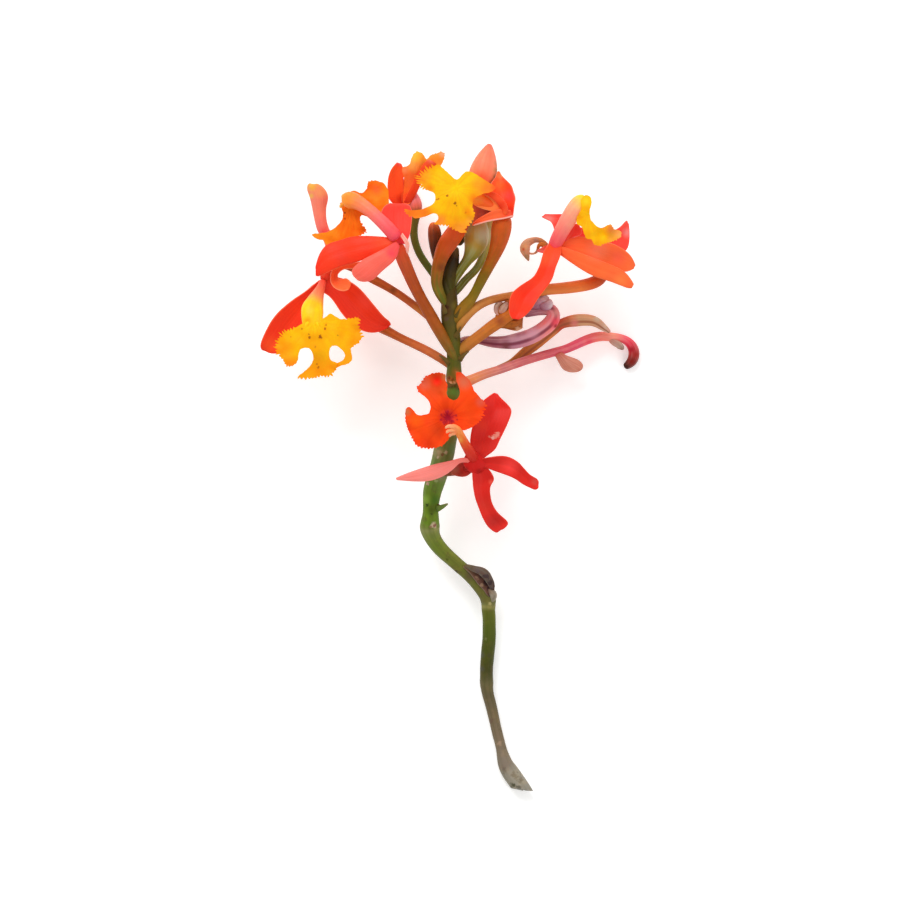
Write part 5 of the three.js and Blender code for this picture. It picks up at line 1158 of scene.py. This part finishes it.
grown(lip_blade("right_lip_blade", [(581.5, 199), (585.5, 195.5), (590, 197), (591.5, 202.5), (589.8, 210),
    (590, 218), (592.5, 222.5), (596.5, 226.5), (602, 228), (606.5, 225.5, 0.3), (611, 225, 0.4), (613.5, 229),
    (618.5, 230.5), (621.5, 233, 0.3), (619.5, 238, 0.5), (612, 241.5, 0.4), (605, 243.5, 0.5), (599, 246, 0.5),
    (593.5, 244, 0.4), (591.5, 240), (586, 238.5, 0.3), (583.5, 232), (580.5, 226), (576.5, 224), (577, 217),
    (581, 210), (580.5, 204)], 22.2, pulls=[(586, 205, 0.7, 3), (592, 232, 0.6, 4), (614, 235, -1.2, 5),
        (610, 228, 0.8, 2.5), (600, 244, -1, 4), (600, 234, -0.6, 2), (577, 222, -0.8, 2)], teeth=(2.2, 2.8),
    ruffle=0.35, seed=11, cells=56), right_lip_skin, "right_flower_lip")
grown(lip_blade("front_lip_blade", [(443.7, 373.8, 0.3), (437.4, 372.6, 0.3), (430.5, 374.3, 0.4),
    (424.8, 377.2, 0.4), (421.3, 383, 0.4), (416.7, 387.6, 0.4), (420, 393), (426, 398), (429.5, 403),
    (430.5, 409), (428.8, 413.4), (423.6, 415), (416.7, 414.5), (413.3, 410), (409.3, 407), (405.8, 409.4),
    (405.3, 416.3, 0.3), (406, 423, 0.3), (408.7, 431, 0.4), (412.7, 439, 0.4), (416.7, 445.5, 0.4),
    (423.6, 447.8, 0.4), (430.5, 448.4, 0.4), (437.4, 447.2, 0.4), (443, 445), (447.7, 440.4), (452, 435),
    (458, 431), (465.5, 430), (470.7, 428), (475.5, 425, 0.6), (481, 419, 1.2), (483.4, 411, 1.3),
    (485.6, 404, 0.8), (481, 399), (477.6, 394.6), (473.8, 390), (471.8, 385), (469, 379.5), (465, 375.6),
    (461, 372.6), (457, 372.4), (456, 376), (456.8, 381), (457.8, 385), (459.6, 389.4), (459.5, 395),
    (457, 399), (453.5, 400.2), (449.4, 398.4), (446.8, 394), (447.2, 388.5), (447.4, 384.6), (445.4, 380),
    (445.8, 375.6)], 23, pulls=[(449, 418, -1.4, 4), (425, 385, -1.2, 6), (410, 430, -1.2, 6),
        (480, 405, -1.2, 6), (466, 382, -0.9, 4), (438, 398, 0.9, 5), (464, 410, 0.7, 4), (428, 428, 0.8, 5),
        (437, 382, -0.9, 2.2), (420, 438, -0.6, 3), (442, 414, 0.35, 0.9), (448, 412, 0.35, 0.8),
        (453, 421, 0.35, 0.9), (444, 423, 0.3, 0.8), (443, 389, 0.6, 1.6)], teeth=(3, 3.2), ruffle=0.35,
    seed=13, cells=72), front_lip_skin, "front_flower_lip")

# ---------------------------------------------------------------------------------------------
# The withered sepal on the pink stalk and the dry sheath round the stem's knee.
# ---------------------------------------------------------------------------------------------
withered_pink = tepal_skin("orchid_tepal_withered_pink", "CC6C5C", "D8907A", "CC7E62", "B07050", vein_dark=0.35)
dry_sheath_skin = tepal_skin("orchid_sheath_dried_brown", "8A6E4C", "6A4A3A", "3A2022", "8A7464", vein_dark=0.6,
    spots=[(486, 583, 0.6, "2E181C"), (489, 589, 0.55, "34181C"), (477, 578, 0.4, "8A6A52"),
        (482, 586, 0.35, "9A7A60"), (481, 577, 0.4, "46302A")])
papery_skin = tepal_skin("orchid_sheath_dried_grey", "6E6844", "6A6052", "4E4442", "98988A", vein_dark=0.75,
    spots=[(478, 571, 0.5, "5A4A48"), (486, 577, 0.6, "3C2A2C"), (490, 583, 0.7, "2E1E22"),
        (472, 568, 0.3, "5A4A38")])
grown(blade("hanging_sepal_blade", [(555, 354, 561, 352, 8.4), (558, 359, 567, 356, 8.2, 8),
    (561, 365, 574, 358.5, 7.4, 7.2), (565, 370, 580, 361, 6.6, 6.2), (571, 371.5, 583.5, 365, 6, 5.6),
    (576, 370.5, 582, 368, 5.6, 5.4)], cup=-0.3, thickness=WITHERED_THICKNESS), withered_pink,
    "hanging_sepal")
grown(blade("dry_sheath_blade", [(463, 567, 465, 565.5, 7.2), (469.5, 573.5, 474.5, 567.5, 7.1, 7.5),
    (475, 580.5, 482.5, 569, 6.9, 7.5), (479.5, 586, 489.5, 574, 6.6, 7.2),
    (483.5, 590.5, 493.5, 581.5, 6.4, 6.8), (487, 595, 494.5, 589, 6.2, 6.4), (489.5, 598, 494, 595, 6)],
    cup=0.2, ripple=0.2), dry_sheath_skin, "dry_sheath")
grown(blade("sheath_edge", [(464, 566.5, 466, 565, 7.5), (470.5, 570.5, 474.5, 566, 7.9, 7.6),
    (477.5, 573.5, 482.5, 567.5, 8.2, 7.7), (484, 579, 489.5, 572.5, 8, 7.4),
    (488.5, 585, 494, 580.5, 7.5, 6.9), (491, 590, 494.5, 588, 6.9, 6.5)], cup=-0.2, ripple=0.16), papery_skin)
grown(stalk("sheath_knob", [(488, 590, 6.2, 0.4), (492, 592.5, 6.2, 0.75), (494, 596, 6, 0.78),
    (493, 600, 5.6, 0.6), (490.5, 602.5, 5.4, 0.3)], ribs=3, rib_depth=0.12, bumps=0.08, seed=5),
    stalk_skin("orchid_sheath_dried_knob", [(0, "6A5040"), (0.4, "958A78"), (0.8, "988F78"), (1, "807A4C")],
        streaks=0.5, streak_colour="6A584A", roughness=0.7))
